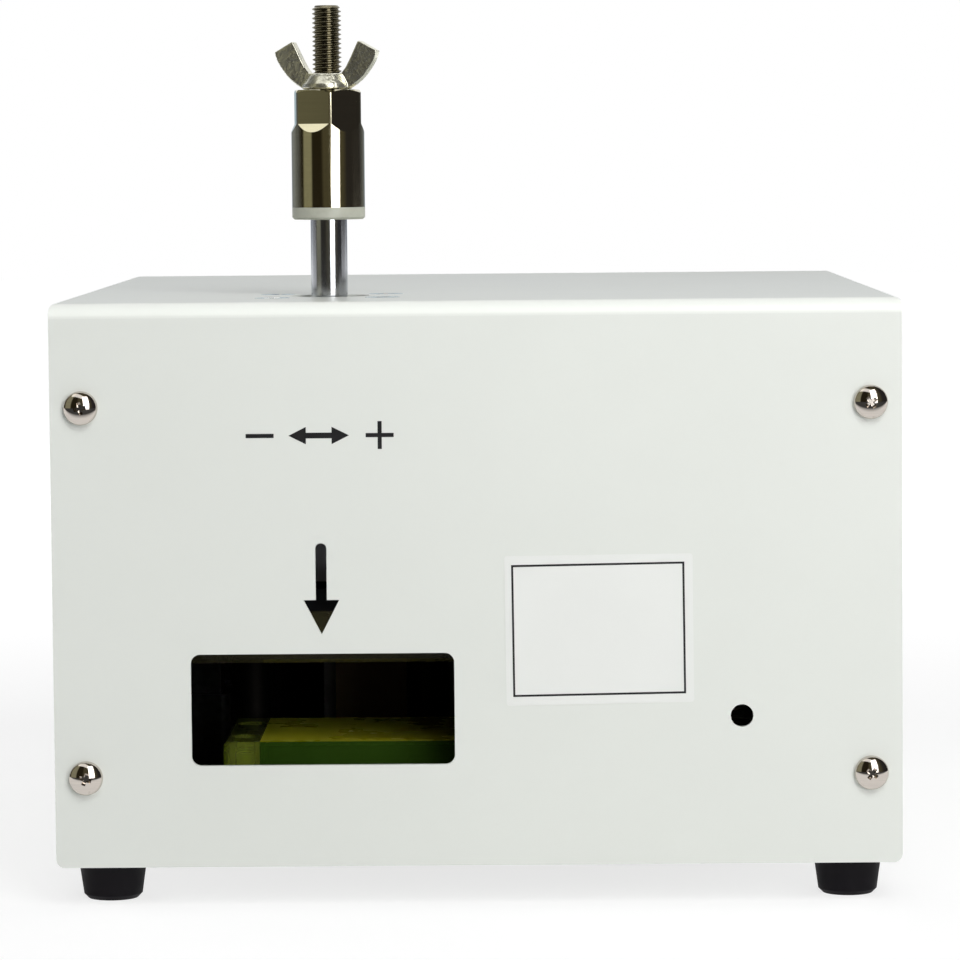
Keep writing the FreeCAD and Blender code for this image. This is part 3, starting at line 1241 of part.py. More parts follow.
def save(name, shape):
    """Write one piece, or a group of loose solids, to its own file."""
    solids = shape if isinstance(shape, list) else [shape]
    whole = [s for piece in solids for s in piece.Solids]
    result = whole[0] if len(whole) == 1 else Part.makeCompound(whole)
    if not result.isValid():
        print("not valid:", name)
    result.exportStep("parts/" + name + ".step")


for piece_name, make in PIECES.items():
    save(piece_name, make())
print(len(PIECES), "pieces written")
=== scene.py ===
import bmesh
import bpy
import math
from collections import namedtuple
from mathutils import Matrix, Vector


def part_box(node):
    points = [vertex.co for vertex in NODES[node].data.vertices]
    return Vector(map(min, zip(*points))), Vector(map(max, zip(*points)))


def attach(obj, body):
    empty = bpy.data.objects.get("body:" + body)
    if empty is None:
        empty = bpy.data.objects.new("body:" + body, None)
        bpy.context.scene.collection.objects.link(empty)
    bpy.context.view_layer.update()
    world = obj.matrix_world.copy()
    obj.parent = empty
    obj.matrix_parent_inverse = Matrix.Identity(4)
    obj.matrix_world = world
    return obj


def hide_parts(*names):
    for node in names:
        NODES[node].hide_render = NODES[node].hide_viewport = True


# Finish of a bench wire straightener: painted case, plated stop, urethane pads, signs and studio.
# Metres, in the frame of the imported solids: X to the right, the front panel faces -Y, Z up.

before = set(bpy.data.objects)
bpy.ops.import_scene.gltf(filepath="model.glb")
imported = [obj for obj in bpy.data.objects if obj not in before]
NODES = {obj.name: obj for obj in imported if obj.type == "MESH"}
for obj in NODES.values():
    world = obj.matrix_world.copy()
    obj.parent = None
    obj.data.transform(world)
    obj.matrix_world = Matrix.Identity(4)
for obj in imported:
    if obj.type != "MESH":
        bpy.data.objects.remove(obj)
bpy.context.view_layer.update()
MM = 0.001


# ---- Places read from the solids ----
def middle(node):
    """Middle of a solid's box."""
    low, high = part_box(node)
    return (low + high) / 2


CASE_LOW, CASE_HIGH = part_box("front_top_cover")
PANEL_LEFT, PANEL_FACE, PANEL_BOTTOM = CASE_LOW
REAR_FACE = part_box("rear_panel")[1].y
ROD_LOW, ROD_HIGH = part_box("piston_rod")
ROD_AXIS = middle("piston_rod")
PAD_LOW, PAD_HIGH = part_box("lower_pad")
UPPER_PAD_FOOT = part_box("upper_pad")[0].z

# ---- Sizes of what is dressed here ----
Screw = namedtuple("Screw", "head_r head_h shank_r length arm")
PANEL_SCREW = Screw(4.5 * MM, 3.5 * MM, 2.5 * MM, 9.9 * MM, 1.9 * MM)
REAR_SCREW = Screw(3.6 * MM, 2.6 * MM, 2.0 * MM, 8.9 * MM, 1.6 * MM)
INLET_SCREW = Screw(2.6 * MM, 1.9 * MM, 1.5 * MM, 8.9 * MM, 1.15 * MM)
FOOT_SCREW = Screw(4.0 * MM, 2.6 * MM, 2.0 * MM, 10.9 * MM, 1.8 * MM)
FOOT_SCREW_Z = 6.0 * MM  # seat of a foot's screw above the floor
INLET_EAR_X = 20.0 * MM  # from the middle of the inlet to each of its screws
CYLINDER_BOLT_XY = 15.0 * MM  # from the rod's axis, both ways

ROD_R = 5.0 * MM
ROD_EDGE = 0.3 * MM
SHOULDER_H = 1.0 * MM
CRISP_BAND = 0.05 * MM  # narrow band beside an edge, which keeps its shading crisp
THREAD_PITCH = 1.25 * MM
THREAD_R = 4.0 * MM
THREAD_DEPTH = 0.72 * MM
THREAD_START_Z = 196.0 * MM
THREAD_PLAIN_H = 10.0 * MM  # uncut stretch under the thread, hidden in the sleeve
TIP_CHAMFER = 0.9 * MM

PAD_CORNER_R = 3.0 * MM
PAD_CHAMFER = 1.0 * MM
PAD_BORE_R = 2.15 * MM
PAD_SINK_R = 4.0 * MM
PAD_SINK_DEPTH = 8.0 * MM
PAD_SCREW_INSET = 5.7 * MM
PAD_SCREW_Y = 14.0 * MM
PAD_LIT_CLEAR_END = 10.0 * MM

PRINT_LIFT = 0.02 * MM
PRINT_T = 0.03 * MM
FILM_T = 0.12 * MM
BORDER_LIFT = 0.125 * MM
BORDER_T = 0.02 * MM
BORDER_W = 0.55 * MM

ROCKER_PIVOT_Y = 126.5 * MM
ROCKER_TILT = math.radians(7.0)
ROCKER_SLOPE = math.atan2(1.4, 8.2)  # of each half of its face
MARK_OUT = 4.42 * MM  # from the pivot to the middle of a mark
MARK_UP = 4.2 * MM
MARK_T = 0.08 * MM
SOCKETS_Z = 52.0 * MM  # height of the inlet and the pedal socket


# ---- Mesh helpers ----
def add_object(name, data):
    """New object from a mesh, lamp or camera, put in the scene."""
    thing = bpy.data.objects.new(name, data)
    bpy.context.scene.collection.objects.link(thing)
    return thing


def piece(name, mesh, materials, body):
    """Object from a mesh, with its materials, riding on a body."""
    for material in materials:
        mesh.materials.append(material)
    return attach(add_object(name, mesh), body)


def mesh_from(name, points, faces, smooth_angle=35.0, soft_above=math.inf):
    mesh = bpy.data.meshes.new(name)
    mesh.from_pydata(points, [], faces)
    mesh.validate()
    shade(mesh, smooth_angle, soft_above)
    return mesh


def shade(mesh, smooth_angle, soft_above=math.inf):
    """Smooth shading, crisp at edges sharper than the angle unless they lie above a height."""
    work = bmesh.new()
    work.from_mesh(mesh)
    bmesh.ops.recalc_face_normals(work, faces=work.faces)
    for face in work.faces:
        face.smooth = True
    limit = math.radians(smooth_angle)
    for edge in work.edges:
        soft = min(end.co.z for end in edge.verts) > soft_above
        edge.smooth = len(edge.link_faces) == 2 and (soft or edge.calc_face_angle(0.0) < limit)
    work.to_mesh(mesh)
    work.free()


def circle(radius, z, count):
    """Points of a circle about Z."""
    turns = [2 * math.pi * i / count for i in range(count)]
    return [(radius * math.cos(turn), radius * math.sin(turn), z) for turn in turns]


def strips(loops, count, first=0, closed=False):
    """Faces between each loop of points and the next, and from the last to the first if closed."""
    faces = []
    for loop in range(loops if closed else loops - 1):
        a, b = first + loop * count, first + (loop + 1) % loops * count
        for i in range(count):
            after = (i + 1) % count
            faces.append((a + i, a + after, b + after, b + i))
    return faces


def capped(loops, count, first=0):
    """Faces of a body skinned over loops of points, with its two ends."""
    last = first + (loops - 1) * count
    ends = [tuple(range(first, first + count)), tuple(reversed(range(last, last + count)))]
    return ends + strips(loops, count, first)


def turned(profile, segments=64):
    """Points and faces of a solid turned about Z; its (radius, z) pairs start and end at r = 0."""
    circles = profile[1:-1]
    points = [(0.0, 0.0, profile[0][1])]
    for radius, z in circles:
        points += circle(radius, z, segments)
    points.append((0.0, 0.0, profile[-1][1]))
    faces = strips(len(circles), segments, 1)
    top = 1 + (len(circles) - 1) * segments
    for i in range(segments):
        after = (i + 1) % segments
        faces += [(0, 1 + after, 1 + i), (top + i, top + after, len(points) - 1)]
    return points, faces


def arc_points(centre_r, centre_z, radius, start, end, steps):
    """Points of an arc in the (radius, z) plane, angles in degrees."""
    points = []
    for i in range(steps + 1):
        angle = math.radians(start + (end - start) * i / steps)
        points.append((centre_r + radius * math.cos(angle), centre_z + radius * math.sin(angle)))
    return points


def evaluated(thing):
    """Mesh of an object with its modifiers applied; the object is removed."""
    graph = bpy.context.evaluated_depsgraph_get()
    mesh = bpy.data.meshes.new_from_object(thing.evaluated_get(graph))
    bpy.data.objects.remove(thing)
    return mesh


def carve(body_mesh, cutter_mesh):
    """Body mesh with the cutter taken away."""
    body = add_object("carve_body", body_mesh)
    cutter = add_object("carve_cutter", cutter_mesh)
    cut = body.modifiers.new("cut", "BOOLEAN")
    cut.operation = "DIFFERENCE"
    cut.solver = "EXACT"
    cut.object = cutter
    result = evaluated(body)
    bpy.data.objects.remove(cutter)
    return result


def merged(name, parts):
    """One mesh from (mesh, matrix) parts."""
    work = bmesh.new()
    for mesh, matrix in parts:
        copy = mesh.copy()
        copy.transform(matrix)
        work.from_mesh(copy)
    mesh = bpy.data.meshes.new(name)
    work.to_mesh(mesh)
    work.free()
    return mesh


def rounded_corners(corners, radius, steps=5):
    """Closed outline through four corners, each rounded."""
    outline = []
    for i, corner in enumerate(corners):
        here = Vector(corner)
        before = (Vector(corners[i - 1]) - here).normalized()
        after = (Vector(corners[(i + 1) % 4]) - here).normalized()
        centre = here + (before + after) * radius
        start = here + before * radius - centre
        end = here + after * radius - centre
        for k in range(steps + 1):
            share = k / steps * math.pi / 2
            spot = centre + start * math.cos(share) + end * math.sin(share)
            outline.append((spot.x, spot.y))
    return outline


# ---- Shader helpers ----
def join(tree, value, socket):
    """Value into a socket: linked where it is a socket itself, else set as its constant."""
    if isinstance(value, bpy.types.NodeSocket):
        tree.links.new(value, socket)
    elif socket.type == "RGBA":
        socket.default_value = (*value, 1.0)
    else:
        socket.default_value = value


def add_node(tree, kind, **settings):
    """New node. A setting is a property of the node or, where it has none so named, a socket."""
    made = tree.nodes.new(kind)
    for key, value in settings.items():
        if hasattr(made, key):
            setattr(made, key, value)
        else:
            join(tree, value, made.inputs[key.replace("_", " ")])
    return made


def use_group(tree, group, **values):
    return add_node(tree, "ShaderNodeGroup", node_tree=group, **values).outputs


def math_node(tree, operation, first, second, kind="ShaderNodeMath"):
    """Result of an operation on two values, each a socket or a number."""
    made = add_node(tree, kind, operation=operation)
    for value, socket in zip((first, second), made.inputs):
        join(tree, value, socket)
    return made.outputs[0]


def vector_node(tree, operation, first, second):
    return math_node(tree, operation, first, second, "ShaderNodeVectorMath")


def times(tree, first, second):
    return math_node(tree, "MULTIPLY", first, second)


def ramp(tree, value, low, high, low_out=0.0, high_out=1.0):
    """Value mapped from low..high to low_out..high_out, clamped."""
    limits = {"From_Min": low, "From_Max": high, "To_Min": low_out, "To_Max": high_out}
    return add_node(tree, "ShaderNodeMapRange", Value=value, **limits).outputs["Result"]


def blend(tree, factor, first, second):
    """Mix of two colours; each is a socket or an RGB triple."""
    made = add_node(tree, "ShaderNodeMix", data_type="RGBA", Factor=factor)
    colours = [socket for socket in made.inputs if socket.type == "RGBA"]
    for value, socket in zip((first, second), colours):
        join(tree, value, socket)
    return [socket for socket in made.outputs if socket.type == "RGBA"][0]


def axes(tree, vector):
    """X, Y and Z of a vector, by name."""
    return add_node(tree, "ShaderNodeSeparateXYZ", Vector=vector).outputs


def object_point(tree):
    return tree.nodes.new("ShaderNodeTexCoord").outputs["Object"]


def upwardness(tree):
    """Z of the surface's normal: 1 on a face that looks up."""
    return axes(tree, tree.nodes.new("ShaderNodeNewGeometry").outputs["Normal"])["Z"]


def noise(tree, size, detail, roughness):
    """Noise in the object's own coordinates, its spots about as wide as a size in metres."""
    return add_node(
        tree, "ShaderNodeTexNoise", Vector=object_point(tree), Detail=detail, Roughness=roughness,
        Scale=math_node(tree, "DIVIDE", 1.0, size),
    ).outputs[0]


def new_group(name, inputs, outputs):
    """Empty shader group. Inputs are names with their defaults; outputs are names of numbers."""
    group = bpy.data.node_groups.new(name, "ShaderNodeTree")
    add_socket = group.interface.new_socket
    for label, default in inputs.items():
        kind = "NodeSocketVector" if isinstance(default, tuple) else "NodeSocketFloat"
        add_socket(name=label, in_out="INPUT", socket_type=kind).default_value = default
    for label in outputs:
        add_socket(name=label, in_out="OUTPUT", socket_type="NodeSocketFloat")
    come, go = group.nodes.new("NodeGroupInput"), group.nodes.new("NodeGroupOutput")
    return group, come.outputs, go.inputs


# ---- Shared effects ----
def grain_group():
    """Fine grain of a coating, a casting or a moulded face, and its slow drift in tone."""
    group, come, go = new_group(
        "surface_grain", {"Grain Size": 0.0006, "Drift Size": 0.05}, ("Height", "Drift")
    )
    join(group, noise(group, come["Grain Size"], 2.0, 0.55), go["Height"])
    join(group, noise(group, come["Drift Size"], 3.0, 0.6), go["Drift"])
    return group


def tooling_group():
    """Fine parallel lines left by grinding, turning or drawing, along a chosen direction."""
    group, come, go = new_group(
        "tooling_lines", {"Line Pitch": (0.05, 0.05, 0.0002)}, ("Height", "Tone")
    )
    stretched = vector_node(group, "DIVIDE", object_point(group), come["Line Pitch"])
    lines = add_node(
        group, "ShaderNodeTexNoise", Vector=stretched, Scale=1.0, Detail=3.0, Roughness=0.65
    ).outputs[0]
    join(group, lines, go["Height"])
    join(group, ramp(group, lines, 0.3, 0.7), go["Tone"])
    return group


def wear_group():
    """Mask of rubbed edges and small scattered marks."""
    group, come, go = new_group("rubbed_edges", {"Edge": 0.55, "Mark Size": 0.004}, ("Mask",))
    pointed = group.nodes.new("ShaderNodeNewGeometry").outputs["Pointiness"]
    full = math_node(group, "ADD", come["Edge"], 0.12)
    edge = ramp(group, pointed, come["Edge"], full)
    marks = ramp(group, noise(group, come["Mark Size"], 4.0, 0.7), 0.42, 0.6)
    join(group, times(group, edge, marks), go["Mask"])
    return group


def dust_group():
    """Mask of dust that settles on faces that look up."""
    group, come, go = new_group("settled_dust", {"Patch Size": 0.02}, ("Mask",))
    patches = ramp(group, noise(group, come["Patch Size"], 5.0, 0.65), 0.35, 0.75)
    up = ramp(group, upwardness(group), 0.3, 0.95)
    join(group, times(group, up, patches), go["Mask"])
    return group


def zone_group():
    """1 inside a box given by its two corners, 0 outside."""
    group, come, go = new_group(
        "inside_zone", {"Low": (0.0, 0.0, 0.0), "High": (1.0, 1.0, 1.0)}, ("Mask",)
    )
    point = object_point(group)
    above = vector_node(group, "SUBTRACT", point, come["Low"])
    below = vector_node(group, "SUBTRACT", come["High"], point)
    nearest = axes(group, vector_node(group, "MINIMUM", above, below))
    least = math_node(group, "MINIMUM", nearest["X"], nearest["Y"])
    least = math_node(group, "MINIMUM", least, nearest["Z"])
    join(group, math_node(group, "GREATER_THAN", least, 0.0), go["Mask"])
    return group


def bend_highlight_group():
    """Mask of the rounded bends, where the coating is made whiter as a painted highlight."""
    group, come, go = new_group("bend_painted_highlight", {"Flat Limit": 0.97}, ("Mask",))
    up = upwardness(group)
    off_flat = math_node(group, "LESS_THAN", up, come["Flat Limit"])
    join(group, times(group, ramp(group, up, 0.01, 0.25), off_flat), go["Mask"])
    return group


GRAIN = grain_group()
BEND_HIGHLIGHT = bend_highlight_group()
TOOLING = tooling_group()
WEAR = wear_group()
DUST = dust_group()
ZONE = zone_group()


# ---- Materials ----
def new_material(name):
    material = bpy.data.materials.new(name)
    material.use_nodes = True
    return material, material.node_tree


def scaled(colour, factor):
    return tuple(min(1.0, c * factor) for c in colour)


def grained(tree, grain_size, drift_size):
    """Height of the grain, and its drift as a tone from 0 to 1."""
    surface = use_group(tree, GRAIN, Grain_Size=grain_size, Drift_Size=drift_size)
    return surface["Height"], ramp(tree, surface["Drift"], 0.3, 0.7)


def dusted(tree, colour, patch_size, share, dust=(0.35, 0.34, 0.32)):
    mask = use_group(tree, DUST, Patch_Size=patch_size)["Mask"]
    return blend(tree, times(tree, mask, share), colour, dust)


def worn(tree, colour, edge, mark_size, share, bare):
    mask = use_group(tree, WEAR, Edge=edge, Mark_Size=mark_size)["Mask"]
    return blend(tree, times(tree, mask, share), colour, bare)


def finished(material, colour, rough, height, depth, **others):
    """Material with its colour, roughness, relief of a depth in metres and other settings."""
    tree = material.node_tree
    relief = add_node(tree, "ShaderNodeBump", Strength=1.0, Distance=depth, Height=height)
    others.update(Base_Color=colour, Roughness=rough, Normal=relief.outputs[0])
    for key, value in others.items():
        join(tree, value, tree.nodes["Principled BSDF"].inputs[key.replace("_", " ")])
    return material


def painted(name, colour, roughness, zone=None, depth=0.000004, coat=0.0):
    """Powder coat with orange peel, whitened on its bends as a painted highlight. Inside the zone
    the sheet is made near black as painted shade of the unlit inside.
    """
    material, tree = new_material(name)
    height, tone = grained(tree, 0.0007, 0.09)
    mixed = blend(tree, tone, scaled(colour, 0.985), scaled(colour, 1.01))
    mixed = dusted(tree, mixed, 0.03, 0.10, scaled(colour, 0.82))
    # Painted highlight: the bends are whitened where the light would catch them.
    bend_highlight = use_group(tree, BEND_HIGHLIGHT, Flat_Limit=0.985)["Mask"]
    mixed = blend(tree, bend_highlight, mixed, scaled(colour, 1.2))
    rough = ramp(tree, tone, 0.0, 1.0, roughness - 0.03, roughness + 0.05)
    # Painted shade: inside the zone the sheet is near black, standing in for the unlit inside of
    # the case.
    if zone:
        inside = use_group(tree, ZONE, Low=zone[0], High=zone[1])["Mask"]
        mixed = blend(tree, inside, mixed, (0.026, 0.020, 0.024))
        rough = math_node(tree, "MAXIMUM", rough, times(tree, inside, 0.8))
    return finished(material, mixed, rough, height, depth, Coat_Weight=coat, Coat_Roughness=0.25)


def plated(name, colour, roughness, pitch=(0.02, 0.02, 0.0004), depth=0.0000001, metal=1.0):
    """Bright metal: fine tooling lines under the plating, slightly dulled patches, rubbed edges."""
    material, tree = new_material(name)
    lines = use_group(tree, TOOLING, Line_Pitch=pitch)
    drift = use_group(tree, GRAIN, Grain_Size=0.0004, Drift_Size=0.012)["Drift"]
    mixed = blend(tree, lines["Tone"], scaled(colour, 0.95), scaled(colour, 1.03))
    mixed = worn(tree, mixed, 0.56, 0.0015, 0.35, (0.30, 0.26, 0.20))
    rough = ramp(tree, drift, 0.35, 0.7, roughness * 0.9, roughness * 1.15)
    return finished(material, mixed, rough, lines["Height"], depth, Metallic=metal)


def dull_metal(name, colour, roughness, pitch=(0.004, 0.06, 0.004)):
    """Zinc plate, anodising or ground steel: satin metal with a faint direction and dust."""
    material, tree = new_material(name)
    lines = use_group(tree, TOOLING, Line_Pitch=pitch)
    mixed = blend(tree, lines["Tone"], scaled(colour, 0.86), scaled(colour, 1.08))
    mixed = dusted(tree, mixed, 0.012, 0.25, (0.32, 0.31, 0.29))
    rough = ramp(tree, lines["Tone"], 0.0, 1.0, roughness, roughness + 0.12)
    return finished(material, mixed, rough, lines["Height"], 0.000002, Metallic=1.0)


def moulded(
    name, colour, roughness, grain=0.0003, depth=0.000006, edge=(0.10, 0.10, 0.10), gloss=0.5
):
    """Moulded plastic or rubber with a fine texture, worn a little at its edges, dusty on top."""
    material, tree = new_material(name)
    height, tone = grained(tree, grain, 0.01)
    mixed = blend(tree, tone, scaled(colour, 0.85), scaled(colour, 1.15))
    mixed = dusted(tree, worn(tree, mixed, 0.54, 0.003, 0.5, edge), 0.01, 0.12)
    rough = ramp(tree, tone, 0.0, 1.0, roughness - 0.05, roughness + 0.08)
    return finished(material, mixed, rough, height, depth, Specular_IOR_Level=gloss)


def printed(name, colour, roughness, drift=0.004):
    """Screen-printed ink or a label film: slightly uneven, with its own gloss."""
    material, tree = new_material(name)
    height, tone = grained(tree, 0.0005, drift)
    mixed = blend(tree, tone, scaled(colour, 0.975), scaled(colour, 1.01))
    rough = ramp(tree, tone, 0.0, 1.0, roughness, roughness + 0.07)
    return finished(material, mixed, rough, height, 0.000002)


def urethane(name, pale, deep, clearness, roughness=0.03, darker_below=None, depth=0.000002):
    """Cast urethane with faint streaks; darker_below is (from, to), heights over which it goes from
    darker to its own colour.
    """
    material, tree = new_material(name)
    height, tone = grained(tree, 0.0012, 0.018)
    mixed = blend(tree, tone, deep, pale)
    # Darker towards the bottom, up to the given heights.
    if darker_below:
        full_tone = ramp(tree, axes(tree, object_point(tree))["Z"], *darker_below)
        mixed = blend(tree, full_tone, scaled(deep, 0.35), mixed)
    rough = ramp(tree, tone, 0.0, 1.0, roughness, roughness + 0.06)
    return finished(
        material, mixed, rough, height, depth,
        Transmission_Weight=clearness, IOR=1.48, Specular_IOR_Level=0.3,
    )


def zoned(name, base, roughness, zones):
    """Moulded block whose parts differ in colour. Zones are (low, high, colour, metallic)."""
    material, tree = new_material(name)
    height, tone = grained(tree, 0.0005, 0.008)
    mixed = blend(tree, tone, scaled(base, 0.88), scaled(base, 1.12))
    metal = 0.0
    for low, high, colour, metallic in zones:
        inside = use_group(tree, ZONE, Low=low, High=high)["Mask"]
        mixed = blend(tree, inside, mixed, colour)
        if metallic:
            metal = math_node(tree, "MAXIMUM", metal, inside)
    mixed = dusted(tree, mixed, 0.01, 0.15)
    rough = ramp(tree, tone, 0.0, 1.0, roughness - 0.04, roughness + 0.08)
    return finished(material, mixed, rough, height, 0.000006, Metallic=metal)


def within(node, sheet, open_low, open_high):
    """Box inside a bent sheet, carried a metre past its open sides."""
    low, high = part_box(node)
    step = Vector((sheet, sheet, sheet))
    return tuple(low + step - Vector(open_low)), tuple(high - step + Vector(open_high))


# Boxes inside the case where the sheets get painted shade: near black, as the inside is unlit.
SHADED_INSIDE_COVER = within("front_top_cover", 1.35 * MM, (1, 0, 1), (1, 0, 0))
SHADED_INSIDE_TRAY = within("chassis_tray", 1.0 * MM, (0, 1, 0), (0, 1, 1))
SHADED_BEFORE_REAR_PANEL = ((-1.0, -1.0, -1.0), (1.0, REAR_FACE - 0.4 * MM, 1.0))
DARKER_BELOW_HEIGHTS = (UPPER_PAD_FOOT + 4.0 * MM, UPPER_PAD_FOOT + 9.0 * MM)

PAINT = (0.80, 0.825, 0.775)
COVER_PAINT = painted("cover_powder_coat", PAINT, 0.34, SHADED_INSIDE_COVER)
TRAY_PAINT = painted("tray_powder_coat", scaled(PAINT, 0.97), 0.38, SHADED_INSIDE_TRAY)
REAR_PAINT = painted("rear_powder_coat", scaled(PAINT, 0.97), 0.38, SHADED_BEFORE_REAR_PANEL)
MOTOR_PAINT = painted("motor_enamel", (0.075, 0.08, 0.085), 0.42, depth=0.00001, coat=0.2)
NICKEL = plated("bright_nickel", (0.60, 0.55, 0.50), 0.07)
PAD_SCREW_NICKEL = plated("pad_screw_nickel", (0.82, 0.80, 0.70), 0.28)
WING_NICKEL = plated(
    "cast_nickel", (0.78, 0.77, 0.65), 0.27, pitch=(0.005, 0.005, 0.005), depth=0.0004, metal=0.95
)
SLEEVE_NICKEL = plated("sleeve_nickel", (0.62, 0.58, 0.42), 0.07)
ROD_CHROME = plated("hard_chrome", (0.60, 0.615, 0.65), 0.11, pitch=(0.03, 0.03, 0.0001))
THREAD_STEEL = plated("oiled_thread", (0.20, 0.18, 0.12), 0.20)
ZINC = dull_metal("zinc_plate", (0.58, 0.59, 0.61), 0.30)
GROUND_STEEL = dull_metal("ground_steel", (0.62, 0.62, 0.62), 0.20, pitch=(0.05, 0.0006, 0.0006))
# Painted shade: the guide posts, deep in the unlit case, are made near black.
SHADED_GUIDE_STEEL = dull_metal(
    "shaded_guide_steel", (0.012, 0.011, 0.010), 0.5, pitch=(0.02, 0.02, 0.0005)
)
BLACK_OXIDE = dull_metal("black_oxide", (0.06, 0.06, 0.063), 0.38)
ANODISED = dull_metal("clear_anodised", (0.60, 0.61, 0.63), 0.36, pitch=(0.0008, 0.0008, 0.05))
BLACK_ANODISED = dull_metal("black_anodised", (0.018, 0.018, 0.020), 0.45)
BRONZE = dull_metal("oiled_bronze", (0.50, 0.34, 0.15), 0.34)
NICKEL_BRASS = plated("nickel_brass", (0.66, 0.62, 0.54), 0.16)
NYLON = moulded("natural_nylon", (0.47, 0.48, 0.40), 0.42, edge=(0.55, 0.56, 0.49))
RUBBER = moulded(
    "foot_rubber", (0.006, 0.005, 0.007), 0.62,
    grain=0.0006, depth=0.00001, edge=(0.02, 0.02, 0.02), gloss=0.15,
)
BLACK_PLASTIC = moulded("black_plastic", (0.018, 0.018, 0.02), 0.40)
SEAL = moulded("nitrile", (0.015, 0.015, 0.015), 0.55)
CAPACITOR = moulded("capacitor_case", (0.62, 0.62, 0.60), 0.40, edge=(0.7, 0.7, 0.7))
TUBE = moulded("blue_tube", (0.02, 0.10, 0.36), 0.22, edge=(0.04, 0.16, 0.45))
# One urethane in three colours as painted light and shade: a darker copy for the pad's sides, a
# bright copy for its top face, and a clearer, lighter copy for its thin end.
SHADED_SIDE_URETHANE = urethane("shaded_side_urethane", (0.075, 0.175, 0.018), (0.060, 0.150, 0.014), 0.60)
LIT_TOP_URETHANE = urethane(
    "lit_top_urethane", (0.86, 0.84, 0.045), (0.74, 0.69, 0.03), 0.15, 0.25, depth=0.0000002
)
LIT_CLEAR_URETHANE = urethane("lit_clear_urethane", (0.76, 0.88, 0.16), (0.66, 0.80, 0.10), 0.86)
UPPER_URETHANE = urethane(
    "upper_pad_urethane", (0.34, 0.30, 0.15), (0.28, 0.25, 0.12), 0.60, darker_below=DARKER_BELOW_HEIGHTS
)
INK = printed("black_ink", (0.006, 0.006, 0.007), 0.34)
FILM = printed("label_film", (0.86, 0.875, 0.84), 0.30, 0.05)
WHITE_INK = printed("white_ink", (0.75, 0.75, 0.74), 0.40)


# ---- Screws ----
def plus_outline(arm, half):
    """Outline of a plus sign with arms of a length and half width."""
    outline = []
    for turn in range(4):
        for x, y in ((arm, half), (half, half), (half, arm)):
            for _ in range(turn):
                x, y = -y, x
            outline.append((x, y))
    return outline


def cross_recess(arm, width, top, depth):
    """Tapered cross that a driver's tip fits, open at the top."""
    upper = [(x, y, top + 0.3 * MM) for x, y in plus_outline(arm, width / 2)]
    lower = [(x, y, top - depth) for x, y in plus_outline(arm * 0.55, width * 0.3)]
    return mesh_from("cross_recess", upper + lower, capped(2, len(upper)))


def screw(name, profile, segments, recess):
    """Turned screw with a cross recess."""
    made = carve(mesh_from(name, *turned(profile, segments)), recess)
    shade(made, 40.0)
    return made


def pan_head_screw(head_r, head_h, shank_r, length, arm):
    """Polished pan head with a cross recess, its underside at z = 0."""
    rim = head_h * 0.45
    rise = head_h - rim
    dome_r = (head_r ** 2 + rise ** 2) / (2 * rise)
    span = math.degrees(math.asin(head_r / dome_r))
    dome = arc_points(0.0, head_h - dome_r, dome_r, 90 - span + 3.0, 90, 22)
    edge = [(head_r - 0.12 * MM, 0.0), (head_r, 0.12 * MM), (head_r, rim * 0.86)]
    shank = [(0.0, -length), (shank_r * 0.8, -length), (shank_r, -length + shank_r * 0.3)]
    profile = shank + [(shank_r, 0.0)] + edge + dome[:-1] + [(0.0, head_h)]
    return screw("pan_head", profile, 72, cross_recess(arm, 0.62 * arm, head_h, head_h * 0.45))


def countersunk_screw(head_r, shank_r, length, arm):
    """Flat head, flush at z = 0, with a cross recess."""
    profile = [
        (0.0, -length), (shank_r, -length), (shank_r, shank_r - head_r),
        (head_r, -0.15 * MM), (head_r - 0.15 * MM, 0.0), (0.0, 0.0),
    ]
    return screw("flat_head", profile, 56, cross_recess(arm, 0.6 * arm, 0.0, 1.6 * MM))


def cylinder_bolt(shank_r=2.5 * MM, head_r=4.2 * MM, head_h=5.0 * MM, length=62.4 * MM):
    """Long cap screw, the top of its head at z = 0, with a groove round the head's middle."""
    middle_r, groove_depth, edge = 2.0 * MM, 2.4 * MM, 0.2 * MM
    return mesh_from("cylinder_bolt", *turned([
        (0.0, 0.0), (middle_r, 0.0), (middle_r, -groove_depth), (head_r - edge, 0.0),
        (head_r, -edge), (head_r, edge - head_h), (head_r - edge, -head_h),
        (shank_r, -head_h), (shank_r, -length), (0.0, -length),
    ], 40))


def set_of_screws(name, places, material):
    """One piece from (mesh, place, outward direction, turn in degrees) for each screw."""
    parts = []
    for mesh, place, outward, turn in places:
        facing = Vector(outward).to_track_quat("Z", "Y").to_matrix().to_4x4()
        spin = Matrix.Rotation(math.radians(turn), 4, "Z")
        parts.append((mesh, Matrix.Translation(place) @ facing @ spin))
    screws = piece(name, merged(name, parts), [material], "frame")
    return screws


def front_panel_screws():
    """Four screws at the corners of the front panel."""
    head = pan_head_screw(*PANEL_SCREW)
    low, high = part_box("cover_front_screws")
    x = high.x - PANEL_SCREW.head_r
    lower, upper = low.z + PANEL_SCREW.head_r, high.z - PANEL_SCREW.head_r
    turns = {(-x, upper): 12.0, (x, upper): 38.0, (-x, lower): 71.0, (x, lower): 55.0}
    places = [(head, (px, PANEL_FACE, pz), (0, -1, 0), turn) for (px, pz), turn in turns.items()]
    screws = set_of_screws("front_panel_screws", places, NICKEL)
    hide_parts("cover_front_screws")


